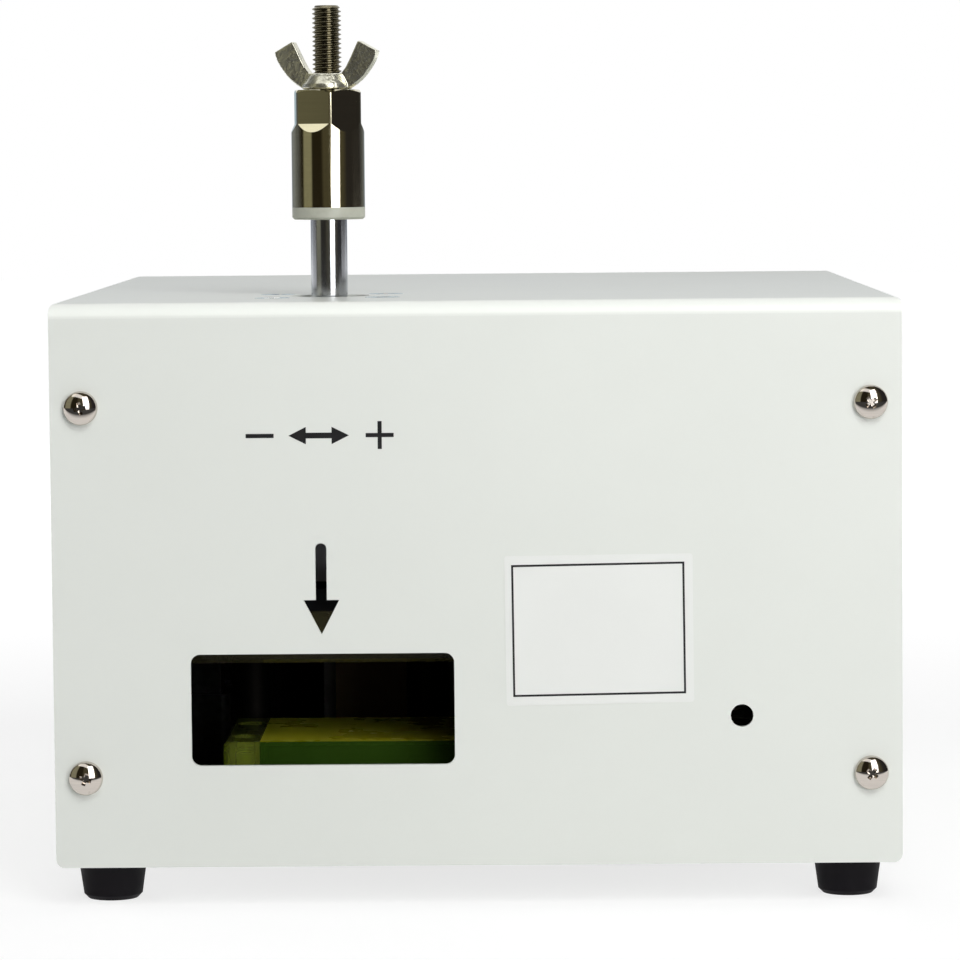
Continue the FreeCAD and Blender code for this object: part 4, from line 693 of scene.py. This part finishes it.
def back_screws():
    """Two screws low on the back sheet, two in the cover's rear lip and two beside the inlet."""
    head, small = pan_head_screw(*REAR_SCREW), pan_head_screw(*INLET_SCREW)
    low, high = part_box("rear_panel_screws")
    x = high.x - REAR_SCREW.head_r
    lower, upper = low.z + REAR_SCREW.head_r, high.z - REAR_SCREW.head_r
    inlet, inlet_face = middle("power_inlet"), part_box("power_inlet")[1].y
    places = []
    for side, turn in ((-1, 20.0), (1, 64.0)):
        ear = (inlet.x + side * INLET_EAR_X, inlet_face, inlet.z)
        places.append((head, (side * x, REAR_FACE, lower), (0, 1, 0), turn))
        places.append((head, (side * x, CASE_HIGH.y, upper), (0, 1, 0), turn + 31))
        places.append((small, ear, (0, 1, 0), turn - 9))
    screws = set_of_screws("back_panel_screws", places, NICKEL)
    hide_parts("rear_panel_screws")


def hanging_screws():
    """Four flush screws that hang the cylinder, and the long ones that hold it together."""
    flat = countersunk_screw(head_r=5.0 * MM, shank_r=2.5 * MM, length=7.0 * MM, arm=2.4 * MM)
    long_one = cylinder_bolt()
    low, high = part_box("cylinder_screws")
    places = []
    for i, (sx, sy) in enumerate(((-1, -1), (1, -1), (-1, 1), (1, 1))):
        x, y = ROD_AXIS.x + sx * CYLINDER_BOLT_XY, ROD_AXIS.y + sy * CYLINDER_BOLT_XY
        places.append((flat, (x, y, high.z), (0, 0, 1), 17.0 + 26 * i))
        places.append((long_one, (x, y, low.z), (0, 0, -1), 0.0))
    screws = set_of_screws("cylinder_bolts", places, NICKEL)
    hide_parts("cylinder_screws")


def under_foot_screws():
    """One screw up into each foot."""
    head = pan_head_screw(*FOOT_SCREW)
    low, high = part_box("foot_screws")
    x0, x1 = low.x + FOOT_SCREW.head_r, high.x - FOOT_SCREW.head_r
    y0, y1 = low.y + FOOT_SCREW.head_r, high.y - FOOT_SCREW.head_r
    places = []
    for i, (x, y) in enumerate(((x0, y0), (x1, y0), (x0, y1), (x1, y1))):
        places.append((head, (x, y, FOOT_SCREW_Z), (0, 0, -1), 15.0 + 19 * i))
    screws = set_of_screws("foot_fixing_screws", places, ZINC)
    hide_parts("foot_screws")


# ---- Signs printed on the front panel ----
SIGN_HEIGHT = 114.75  # of the row of signs above the panel's lower edge, millimetres
SIGN_REACH, SIGN_HALF = 3.7, 0.55  # half length and half width of a bar of a sign


def metres(pairs):
    """Places across and up, given in millimetres."""
    return [(x * MM, z * MM) for x, z in pairs]


LABEL_CORNERS = metres([(7.64, 53.56), (57.32, 54.28), (57.08, 93.75), (7.31, 93.38)])
BORDER_CORNERS = metres([(9.4, 55.9), (55.2, 56.55), (54.9, 91.6), (9.1, 91.0)])


def printed_shape(name, outlines, material, y=PANEL_FACE - PRINT_LIFT, thickness=PRINT_T):
    """Flat ink or film on the front panel, from closed (x, z) outlines."""
    points, faces = [], []
    for outline in outlines:
        faces += capped(2, len(outline), len(points))
        points += [(x, y, z) for x, z in outline]
        points += [(x, y - thickness, z) for x, z in outline]
    film = piece(name, mesh_from(name, points, faces, 20.0), [material], "frame")


def sign(name, outline):
    """Black sign from (right, up) millimetres, from the panel's left edge and the row's height."""
    places = [(PANEL_LEFT + u * MM, PANEL_BOTTOM + (SIGN_HEIGHT + v) * MM) for u, v in outline]
    printed_shape(name, [places], INK)


def stroke_arrow():
    """Double arrow over the stroke scale: which way the stop is turned."""
    left, right, head, half, stem = 63.1, 79.1, 4.6, 2.3, 0.75
    tail, neck = left + head, right - head
    lower = [(tail, -half), (tail, -stem), (neck, -stem), (neck, -half)]
    upper = [(u, -v) for u, v in reversed(lower)]
    sign("stroke_arrow", [(left, 0.0)] + lower + [(right, 0.0)] + upper)


def minus_mark(middle_u=55.5):
    corners = ((-1, -1), (1, -1), (1, 1), (-1, 1))
    sign("minus_mark", [(middle_u + x * SIGN_REACH, z * SIGN_HALF) for x, z in corners])


def plus_mark(middle_u=87.2):
    sign("plus_mark", [(middle_u + x, z) for x, z in plus_outline(SIGN_REACH, SIGN_HALF)])


def blank_label():
    """Plain white film plate, a little askew, with nothing on it but a thin border."""
    outline = rounded_corners(LABEL_CORNERS, 0.7 * MM)
    printed_shape("blank_label_film", [outline], FILM, PANEL_FACE, FILM_T)


def label_border():
    """Thin black frame on the label film."""
    outer = [Vector(corner) for corner in BORDER_CORNERS]
    centre = sum(outer, Vector((0.0, 0.0))) / 4
    inner = []
    for corner in outer:
        toward = centre - corner
        step = (math.copysign(BORDER_W, toward.x), math.copysign(BORDER_W, toward.y))
        inner.append(corner + Vector(step))
    bars = [[outer[i - 1], outer[i], inner[i], inner[i - 1]] for i in range(4)]
    y = PANEL_FACE - BORDER_LIFT
    printed_shape("label_border", bars, INK, y, BORDER_T)


# ---- Rod, stop and wing nut ----
def thread_cut(phase):
    """Share of the thread depth at a phase of the pitch: 0 on the crest, 1 at the root."""
    off_root = abs(phase % 1.0 - 0.5) * 2
    share = min(1.0, max(0.0, (0.90 - off_root) / 0.68))
    return share * share * (3 - 2 * share) * 0.35 + share * 0.65


def threaded_rod():
    """Ground piston rod with a shoulder and an M8 thread up to its chamfered tip."""
    segments, per_pitch = 60, 12
    low, top = ROD_LOW.z, ROD_HIGH.z
    shoulder = THREAD_START_Z - SHOULDER_H
    loops = [
        (low, ROD_R - ROD_EDGE, 0.0), (low + ROD_EDGE, ROD_R, 0.0),
        (shoulder - CRISP_BAND, ROD_R, 0.0), (shoulder, ROD_R, 0.0),
        (THREAD_START_Z, THREAD_R, 0.0), (THREAD_START_Z + CRISP_BAND, THREAD_R, 0.0),
    ]
    first = THREAD_START_Z + THREAD_PLAIN_H
    count = int((top - first) / (THREAD_PITCH / per_pitch))
    for i in range(count):
        z = first + (top - first) * i / (count - 1)
        chamfer = max(0.0, z - (top - TIP_CHAMFER))
        loops.append((z, THREAD_R - chamfer, min(1.0, (z - first) / THREAD_PITCH)))
    points = []
    for z, radius, weight in loops:
        for k in range(segments):
            share = k / segments
            cut_by = THREAD_DEPTH * weight * thread_cut(z / THREAD_PITCH - share)
            r = min(radius, THREAD_R - cut_by) if weight else radius
            angle = 2 * math.pi * share
            points.append((ROD_AXIS.x + r * math.cos(angle), ROD_AXIS.y + r * math.sin(angle), z))
    faces = capped(len(loops), segments)
    mesh = mesh_from("threaded_rod", points, faces, 30.0, THREAD_START_Z + 2 * CRISP_BAND)
    for polygon in mesh.polygons:
        polygon.material_index = int(polygon.center.z > THREAD_START_Z)
    rod = piece("threaded_rod", mesh, [ROD_CHROME, THREAD_STEEL], "press_head")
    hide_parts("piston_rod")


def wing_outline():
    """Outline of one wing in (radius, height) millimetres from the nut's foot."""
    root, pull, tip = (7.2, 0.6), (12.0, 2.9), (15.2, 9.4)
    flare = []
    for share in (0.15, 0.35, 0.55, 0.75, 0.9):
        weights = ((1 - share) ** 2, 2 * share * (1 - share), share ** 2)
        flare.append(tuple(weights[0] * a + weights[1] * b + weights[2] * c
                           for a, b, c in zip(root, pull, tip)))
    inner_side = [(15.4, 10.4), (10.1, 13.25), (9.7, 13.1), (7.7, 9.1), (6.1, 6.1), (4.8, 4.5)]
    return [(3.2, 0.5), root] + flare + inner_side + [(3.2, 4.2)]


def wing_nut():
    """Cast wing nut: coned hub that grows into two thick flared wings, bored for the thread."""
    hub = [(0.0, 0.15), (6.6, 0.15), (6.95, 0.5), (6.75, 1.6), (5.5, 3.9), (4.9, 4.55), (0.0, 4.55)]
    bore_r, below, above, turn = 4.12, -3, 17, -22.0
    half_thickness, thinning, thin_from, thin_over = 1.45, 0.25, 6.0, 9.0
    points, faces = turned(hub)
    outline = wing_outline()
    for side in (1, -1):
        faces += capped(2, len(outline), len(points))
        for face_of in (1, -1):
            for x, z in outline:
                half = half_thickness - thinning * max(0.0, (x - thin_from) / thin_over)
                points.append((side * x, face_of * half, z))
    form = add_object("wing_form", mesh_from("wing_rough", points, faces))
    weld = form.modifiers.new("weld", "REMESH")
    weld.mode = "VOXEL"
    weld.voxel_size = 0.2
    soften = form.modifiers.new("soften", "SMOOTH")
    soften.factor = 0.5
    soften.iterations = 5
    bore = turned([(0, below), (bore_r, below), (bore_r, above), (0, above)])
    cast = carve(evaluated(form), mesh_from("bore", *bore))
    shade(cast, 42.0)
    place = Matrix.Translation((ROD_AXIS.x, ROD_AXIS.y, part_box("wing_nut")[0].z))
    cast.transform(place @ Matrix.Rotation(math.radians(turn), 4, "Z") @ Matrix.Scale(MM, 4))
    nut = piece("cast_wing_nut", cast, [WING_NICKEL], "wing_nut")
    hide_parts("wing_nut")


# ---- Lower pad ----
def pad_loop(by, z):
    """Rounded outline of the lower pad at a height, drawn in by a distance."""
    low, high = PAD_LOW + Vector((by, by, 0.0)), PAD_HIGH - Vector((by, by, 0.0))
    corners = [(low.x, low.y), (high.x, low.y), (high.x, high.y), (low.x, high.y)]
    return [(x, y, z) for x, y in rounded_corners(corners, PAD_CORNER_R - by, 8)]


def lower_pad():
    """Pad with sunk screw holes, in one urethane coloured by how light falls: a bright
    painted-light top face, darker shaded sides and a clearer, lighter end.
    """
    foot, top = PAD_LOW.z, PAD_HIGH.z
    points = pad_loop(0.0, foot)
    count = len(points)
    points += pad_loop(0.0, top - PAD_CHAMFER) + pad_loop(PAD_CHAMFER, top)
    block = mesh_from("pad_block", points, capped(3, count))
    seat = top - PAD_SINK_DEPTH
    hole = mesh_from("counterbore", *turned([
        (0.0, foot - MM), (PAD_BORE_R, foot - MM), (PAD_BORE_R, seat),
        (PAD_SINK_R, seat), (PAD_SINK_R, top + MM), (0.0, top + MM),
    ], 40))
    centre = middle("lower_pad")
    reach = centre.x - PAD_LOW.x - PAD_SCREW_INSET
    holes = []
    for sx, sy in ((-1, -1), (-1, 1), (1, -1), (1, 1)):
        spot = (centre.x + sx * reach, centre.y + sy * PAD_SCREW_Y, 0.0)
        holes.append((hole, Matrix.Translation(spot)))
    block = carve(block, merged("counterbores", holes))
    lit_clear_to = PAD_LOW.x + PAD_LIT_CLEAR_END
    work = bmesh.new()
    work.from_mesh(block)
    everything = work.verts[:] + work.edges[:] + work.faces[:]
    across = {"plane_co": (lit_clear_to, 0.0, 0.0), "plane_no": (1.0, 0.0, 0.0)}
    bmesh.ops.bisect_plane(work, geom=everything, **across)
    # Painted light and shade: the top face gets the bright copy, the sides the darker one, the end
    # the lighter, clearer one.
    green, lit_top, clear = range(3)
    for face in work.faces:
        spot = face.calc_center_median()
        on_top = face.normal.z > 0.9 and spot.z > seat + MM
        face.material_index = clear if spot.x < lit_clear_to else lit_top if on_top else green
    work.to_mesh(block)
    work.free()
    shade(block, 35.0)
    finishes = [SHADED_SIDE_URETHANE, LIT_TOP_URETHANE, LIT_CLEAR_URETHANE]
    pad = piece("lower_pad_cast", block, finishes, "rub_table")
    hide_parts("lower_pad")


# ---- Switch marks ----
def switch_marks():
    """I and O moulded on the two halves of the rocker."""
    bar_r, bar_stretch, ring_r, ring_bore_r = 0.6 * MM, 4.2, 1.75 * MM, 1.15 * MM
    centre = middle("switch_rocker")
    pivot = Matrix.Translation((centre.x, ROCKER_PIVOT_Y, centre.z))
    tilt = pivot @ Matrix.Rotation(ROCKER_TILT, 4, "X")
    square = turned([(0, 0), (bar_r, 0), (bar_r, MARK_T), (0, MARK_T)], 4)
    bar = mesh_from("on_mark", *square)
    stretch = Matrix.Diagonal((1.0, bar_stretch, 1.0, 1.0))
    bar.transform(stretch @ Matrix.Rotation(math.pi / 4, 4, "Z"))
    points = []
    for radius, z in ((ring_r, 0.0), (ring_r, MARK_T), (ring_bore_r, MARK_T), (ring_bore_r, 0.0)):
        points += circle(radius, z, 40)
    ring = mesh_from("off_mark", points, strips(4, 40, closed=True))
    parts = []
    for mesh, half in ((bar, 1), (ring, -1)):
        spot = Matrix.Translation((0.0, MARK_OUT, half * MARK_UP))
        lean = Matrix.Rotation(-math.pi / 2 - half * ROCKER_SLOPE, 4, "X")
        parts.append((mesh, tilt @ spot @ lean))
    marks = piece("switch_marks", merged("switch_marks", parts), [WHITE_INK], "rocker")


# ---- Finishes of the solids that stay ----
PIN_METAL = (0.62, 0.60, 0.54)
SHELL_NICKEL = (0.58, 0.57, 0.54)


def board_finish():
    """Green board with black relays, silver capacitors, a brown transformer, grey terminals."""
    low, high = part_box("control_board")
    top = high.z + MM
    board_top = low.z + 1.75 * MM

    def zone(x0, x1, y0, y1, colour, metallic=0.0):
        corner = (low.x + x0 * MM, low.y + y0 * MM, board_top)
        return corner, (low.x + x1 * MM, low.y + y1 * MM, top), colour, metallic

    terminals = ((low.x - MM, high.y - 11.3 * MM, board_top), (high.x + MM, high.y - 1.7 * MM, top))
    return zoned("control_board_parts", (0.012, 0.085, 0.035), 0.35, [
        zone(9.5, 42.5, 11.5, 48.5, (0.32, 0.20, 0.06)),
        zone(5.5, 46.5, 21.5, 38.5, (0.16, 0.16, 0.165), 1.0),
        zone(53.5, 73.5, 11.5, 28.5, (0.014, 0.016, 0.05)),
        zone(53.5, 73.5, 31.5, 48.5, (0.014, 0.016, 0.05)),
        zone(14.5, 52.0, 54.0, 64.0, (0.05, 0.05, 0.07)),
        (*terminals, (0.02, 0.16, 0.06), 0.0),
    ])


def pin_zone(x, z, half_x, half_z, y_in, y_out, colour):
    """Zone of one contact pin, from its inner end to its tip."""
    return (x - half_x, y_in, z - half_z), (x + half_x, y_out, z + half_z), colour, 1.0


def inlet_finish():
    """Black inlet with bright pins in its recess."""
    low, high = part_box("power_inlet")
    x, face = middle("power_inlet").x, high.y
    pitch, half_x, half_z = 7.0 * MM, 1.1 * MM, 2.1 * MM
    root, tip, tabs_out = face - 16.4 * MM, face - 3.3 * MM, face - 22.2 * MM
    zones = []
    for side in (-1, 0, 1):
        z = SOCKETS_Z + (2 - 4 * abs(side)) * MM
        zones.append(pin_zone(x + side * pitch, z, half_x, half_z, root, tip, PIN_METAL))
    zones.append(((low.x, low.y - MM, low.z), (high.x, tabs_out, high.z), PIN_METAL, 1.0))
    return zoned("inlet_moulding", (0.018, 0.018, 0.02), 0.40, zones)


def socket_finish():
    """Nickel shell with a black insert and gilt pins."""
    low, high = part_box("pedal_socket")
    x, face, reach = middle("pedal_socket").x, high.y, 6.5 * MM
    gilt, half, pitch, root = (0.70, 0.52, 0.20), 0.75 * MM, 2.4 * MM, face - 7.3 * MM
    insert = (
        (x - reach, face - 8.0 * MM, SOCKETS_Z - reach),
        (x + reach, face - 7.2 * MM, SOCKETS_Z + reach), (0.015, 0.015, 0.016), 0.0,
    )
    shell = ((low.x, low.y - MM, low.z), (high.x, face + MM, high.z), SHELL_NICKEL, 1.0)
    zones = [shell, insert]
    for sx, sz in ((-1, -1), (-1, 1), (1, -1), (1, 1)):
        px, pz = x + sx * pitch, SOCKETS_Z + sz * pitch
        zones.append(pin_zone(px, pz, half, half, root, face, gilt))
    return zoned("socket_shell", SHELL_NICKEL, 0.28, zones)


FINISHES = (
    (COVER_PAINT, "front_top_cover"),
    (TRAY_PAINT, "chassis_tray"),
    (REAR_PAINT, "rear_panel"),
    (MOTOR_PAINT, "gearmotor_body"),
    (RUBBER, "rubber_feet"),
    (ANODISED, "cylinder_barrel cylinder_upper_cover cylinder_lower_cover piston"),
    (ANODISED, "slide_table gearhead"),
    (BLACK_ANODISED, "press_plate post_bases post_tie_bar valve_body"),
    (BRONZE, "rod_glands guide_bushes"),
    (SEAL, "piston_seal"),
    (GROUND_STEEL, "return_spring gear_rack drive_pinion motor_shaft guide_rail_front"),
    (GROUND_STEEL, "guide_rail_rear carriages_front carriages_rear"),
    (SHADED_GUIDE_STEEL, "guide_post_left guide_post_right"),
    (BLACK_OXIDE, "rod_end_screw pinion_set_screw"),
    (UPPER_URETHANE, "upper_pad"),
    (SHADED_SIDE_URETHANE, "lower_pad"),
    (PAD_SCREW_NICKEL, "upper_pad_screws table_screws"),
    (NYLON, "stop_bumper"),
    (SLEEVE_NICKEL, "stop_sleeve"),
    (WING_NICKEL, "wing_nut"),
    (ROD_CHROME, "piston_rod"),
    (ZINC, "motor_bracket frame_screws cylinder_screws foot_screws"),
    (NICKEL, "cover_front_screws rear_panel_screws"),
    (CAPACITOR, "motor_capacitor"),
    (BLACK_PLASTIC, "position_sensors valve_override valve_coil fitting_collar"),
    (BLACK_PLASTIC, "fuse_drawer switch_frame switch_rocker"),
    (NICKEL_BRASS, "tube_fittings air_fitting"),
    (TUBE, "air_tubes"),
    (board_finish(), "control_board"),
    (inlet_finish(), "power_inlet"),
    (socket_finish(), "pedal_socket"),
)
for finish, names in FINISHES:
    for node_name in names.split():
        for spot in NODES[node_name].material_slots:
            spot.material = finish

front_panel_screws()
back_screws()
hanging_screws()
under_foot_screws()
threaded_rod()
wing_nut()
lower_pad()
stroke_arrow()
minus_mark()
plus_mark()
blank_label()
label_border()
switch_marks()


# ---- Studio ----
def ray_kinds(tree):
    """Kinds of ray by name, and a mask of those seen in metal or through glass."""
    rays = tree.nodes.new("ShaderNodeLightPath").outputs
    seen = math_node(tree, "MAXIMUM", rays["Is Glossy Ray"], rays["Is Transmission Ray"])
    return rays, seen


def diffuse(tree, grey):
    return add_node(tree, "ShaderNodeBsdfDiffuse", Color=(grey, grey, grey)).outputs[0]


def mixed_shaders(tree, factor, first, second):
    made = add_node(tree, "ShaderNodeMixShader")
    for value, socket in zip((factor, first, second), made.inputs):
        join(tree, value, socket)
    return made.outputs[0]


def floor_material():
    """Pale floor: white where it is lit, with the object's shadow, dark far in front for metal."""
    material, tree = new_material("studio_floor")
    tree.nodes.clear()
    rays, in_metal = ray_kinds(tree)
    seen = math_node(tree, "MAXIMUM", in_metal, rays["Is Camera Ray"])
    reach = add_node(tree, "ShaderNodeVectorMath", operation="LENGTH")
    join(tree, object_point(tree), reach.inputs[0])
    strength = ramp(tree, reach.outputs["Value"], 0.3, 1.2, 0.74, 1.0)
    glow = add_node(tree, "ShaderNodeEmission", Strength=strength)
    white = tree.nodes.new("ShaderNodeAddShader")
    join(tree, diffuse(tree, 0.34), white.inputs[0])
    join(tree, glow.outputs[0], white.inputs[1])
    near = mixed_shaders(tree, seen, diffuse(tree, 0.84), white.outputs[0])
    far_front = ramp(tree, axes(tree, object_point(tree))["Y"], -0.24, -0.36, 0.0, 0.95)
    dim = times(tree, far_front, rays["Is Glossy Ray"])
    surface = mixed_shaders(tree, dim, near, diffuse(tree, 0.02))
    add_node(tree, "ShaderNodeOutputMaterial", Surface=surface)
    return material


def studio_floor(half=6.0):
    """Square of floor under the object."""
    corners = [(-half, -half, 0.0), (half, -half, 0.0), (half, half, 0.0), (-half, half, 0.0)]
    mesh = bpy.data.meshes.new("studio_floor")
    mesh.from_pydata(corners, [], [(0, 1, 2, 3)])
    mesh.materials.append(floor_material())
    floor = add_object("studio_floor", mesh)


def softbox(name, place, target, width, height, power, seen_in_metal=True):
    """Rectangular soft light that looks at a target."""
    data = bpy.data.lights.new(name, "AREA")
    data.shape = "RECTANGLE"
    data.size, data.size_y, data.energy = width, height, power
    lamp = add_object(name, data)
    lamp.location = place
    lamp.rotation_euler = (Vector(target) - Vector(place)).to_track_quat("-Z", "Y").to_euler()
    lamp.visible_camera = False
    lamp.visible_glossy = seen_in_metal


def studio_world():
    """White behind the object for the eye; a dim room with a white backdrop for metal and glass."""
    world = bpy.data.worlds.new("studio")
    world.use_nodes = True
    bpy.context.scene.world = world
    tree = world.node_tree
    tree.nodes.clear()
    way = axes(tree, tree.nodes.new("ShaderNodeTexCoord").outputs["Generated"])
    up = way["Z"]
    # Radians round from the front, positive to the right.
    turn = math_node(tree, "ARCTAN2", way["X"], times(tree, way["Y"], -1.0))
    away = math_node(tree, "ABSOLUTE", turn, 0.0)
    backdrop = ramp(tree, away, math.radians(163), math.radians(168))
    behind = times(tree, ramp(tree, away, 1.9, 2.3), ramp(tree, up, 0.22, 0.32))
    behind = times(tree, behind, ramp(tree, up, 0.97, 0.90))
    wall = times(tree, ramp(tree, turn, -1.50, -1.38), ramp(tree, turn, -0.84, -0.94))
    halo = times(tree, ramp(tree, turn, -0.34, -0.20), ramp(tree, turn, 1.10, 0.85))
    rear = math_node(tree, "MAXIMUM", ramp(tree, turn, -1.6, -2.3), ramp(tree, turn, 2.1, 2.8))
    front_side = ramp(tree, turn, -0.3, 0.3)
    room = blend(tree, front_side, (0.024, 0.019, 0.010), (0.030, 0.027, 0.027))
    room = blend(tree, rear, room, (0.24, 0.26, 0.29))
    room = blend(tree, wall, room, (0.30, 0.29, 0.20))
    room = blend(tree, halo, room, (0.085, 0.075, 0.045))
    screen = blend(tree, ramp(tree, up, 0.0, 0.22), (0.34, 0.44, 0.50), (1.0, 1.0, 1.0))
    room = blend(tree, math_node(tree, "MAXIMUM", backdrop, behind), room, screen)
    rays, in_metal = ray_kinds(tree)
    ambient = blend(tree, in_metal, (0.07, 0.07, 0.076), room)
    colour = blend(tree, rays["Is Camera Ray"], ambient, (1.0, 1.0, 1.0))
    light = add_node(tree, "ShaderNodeBackground", Color=colour)
    add_node(tree, "ShaderNodeOutputWorld", Surface=light.outputs[0])


CAMERA_PLACE = (0.01214, -1.32194, 0.19946)
CAMERA_TURNS = (0.536, 4.155, -0.503)  # yaw, pitch and roll, degrees


def studio_camera():
    """Camera a little above the top edge, over a metre in front of the panel, looking down."""
    yaw, pitch, roll = (math.radians(turn) for turn in CAMERA_TURNS)
    forward = Vector((
        -math.sin(yaw) * math.cos(pitch), math.cos(yaw) * math.cos(pitch), -math.sin(pitch),
    ))
    side = Vector((math.cos(yaw), math.sin(yaw), 0.0))
    above = side.cross(forward)
    right = math.cos(roll) * side + math.sin(roll) * above
    up = -math.sin(roll) * side + math.cos(roll) * above
    data = bpy.data.cameras.new("front_camera")
    data.lens, data.sensor_width, data.clip_start = 168.2, 36.0, 0.05
    camera = add_object("front_camera", data)
    aim = Matrix((right, up, -forward)).transposed().to_4x4()
    camera.matrix_world = Matrix.Translation(CAMERA_PLACE) @ aim
    bpy.context.scene.camera = camera


studio_floor()
studio_world()
studio_camera()
softbox("key_softbox", (0.385, -1.00, 0.70), (0.0, -0.14, 0.45), 0.565, 1.4, 9.3)
softbox("overhead_softbox", (-0.35, -0.62, 1.15), (-0.02, -0.1, 0.16), 1.1, 0.35, 1.3)
softbox("front_softbox", (0.10, -1.05, 0.95), (0.0, -0.14, 0.12), 1.0, 0.6, 2.4, False)
softbox("fill_softbox", (-1.1, -1.3, 0.5), (0.0, -0.1, 0.1), 0.9, 0.9, 0.1, False)
softbox("ceiling_softbox", (0.0, 0.15, 1.5), (0.0, 0.0, 0.16), 0.9, 0.7, 2.5)
softbox("rear_left_softbox", (-1.2, 1.2, 0.22), (0.0, 0.1, 0.1), 1.0, 0.4, 14.0, False)
softbox("rear_right_softbox", (1.2, 1.2, 0.22), (0.0, 0.1, 0.1), 1.0, 0.4, 14.0, False)
bpy.context.scene.view_settings.view_transform = "Standard"
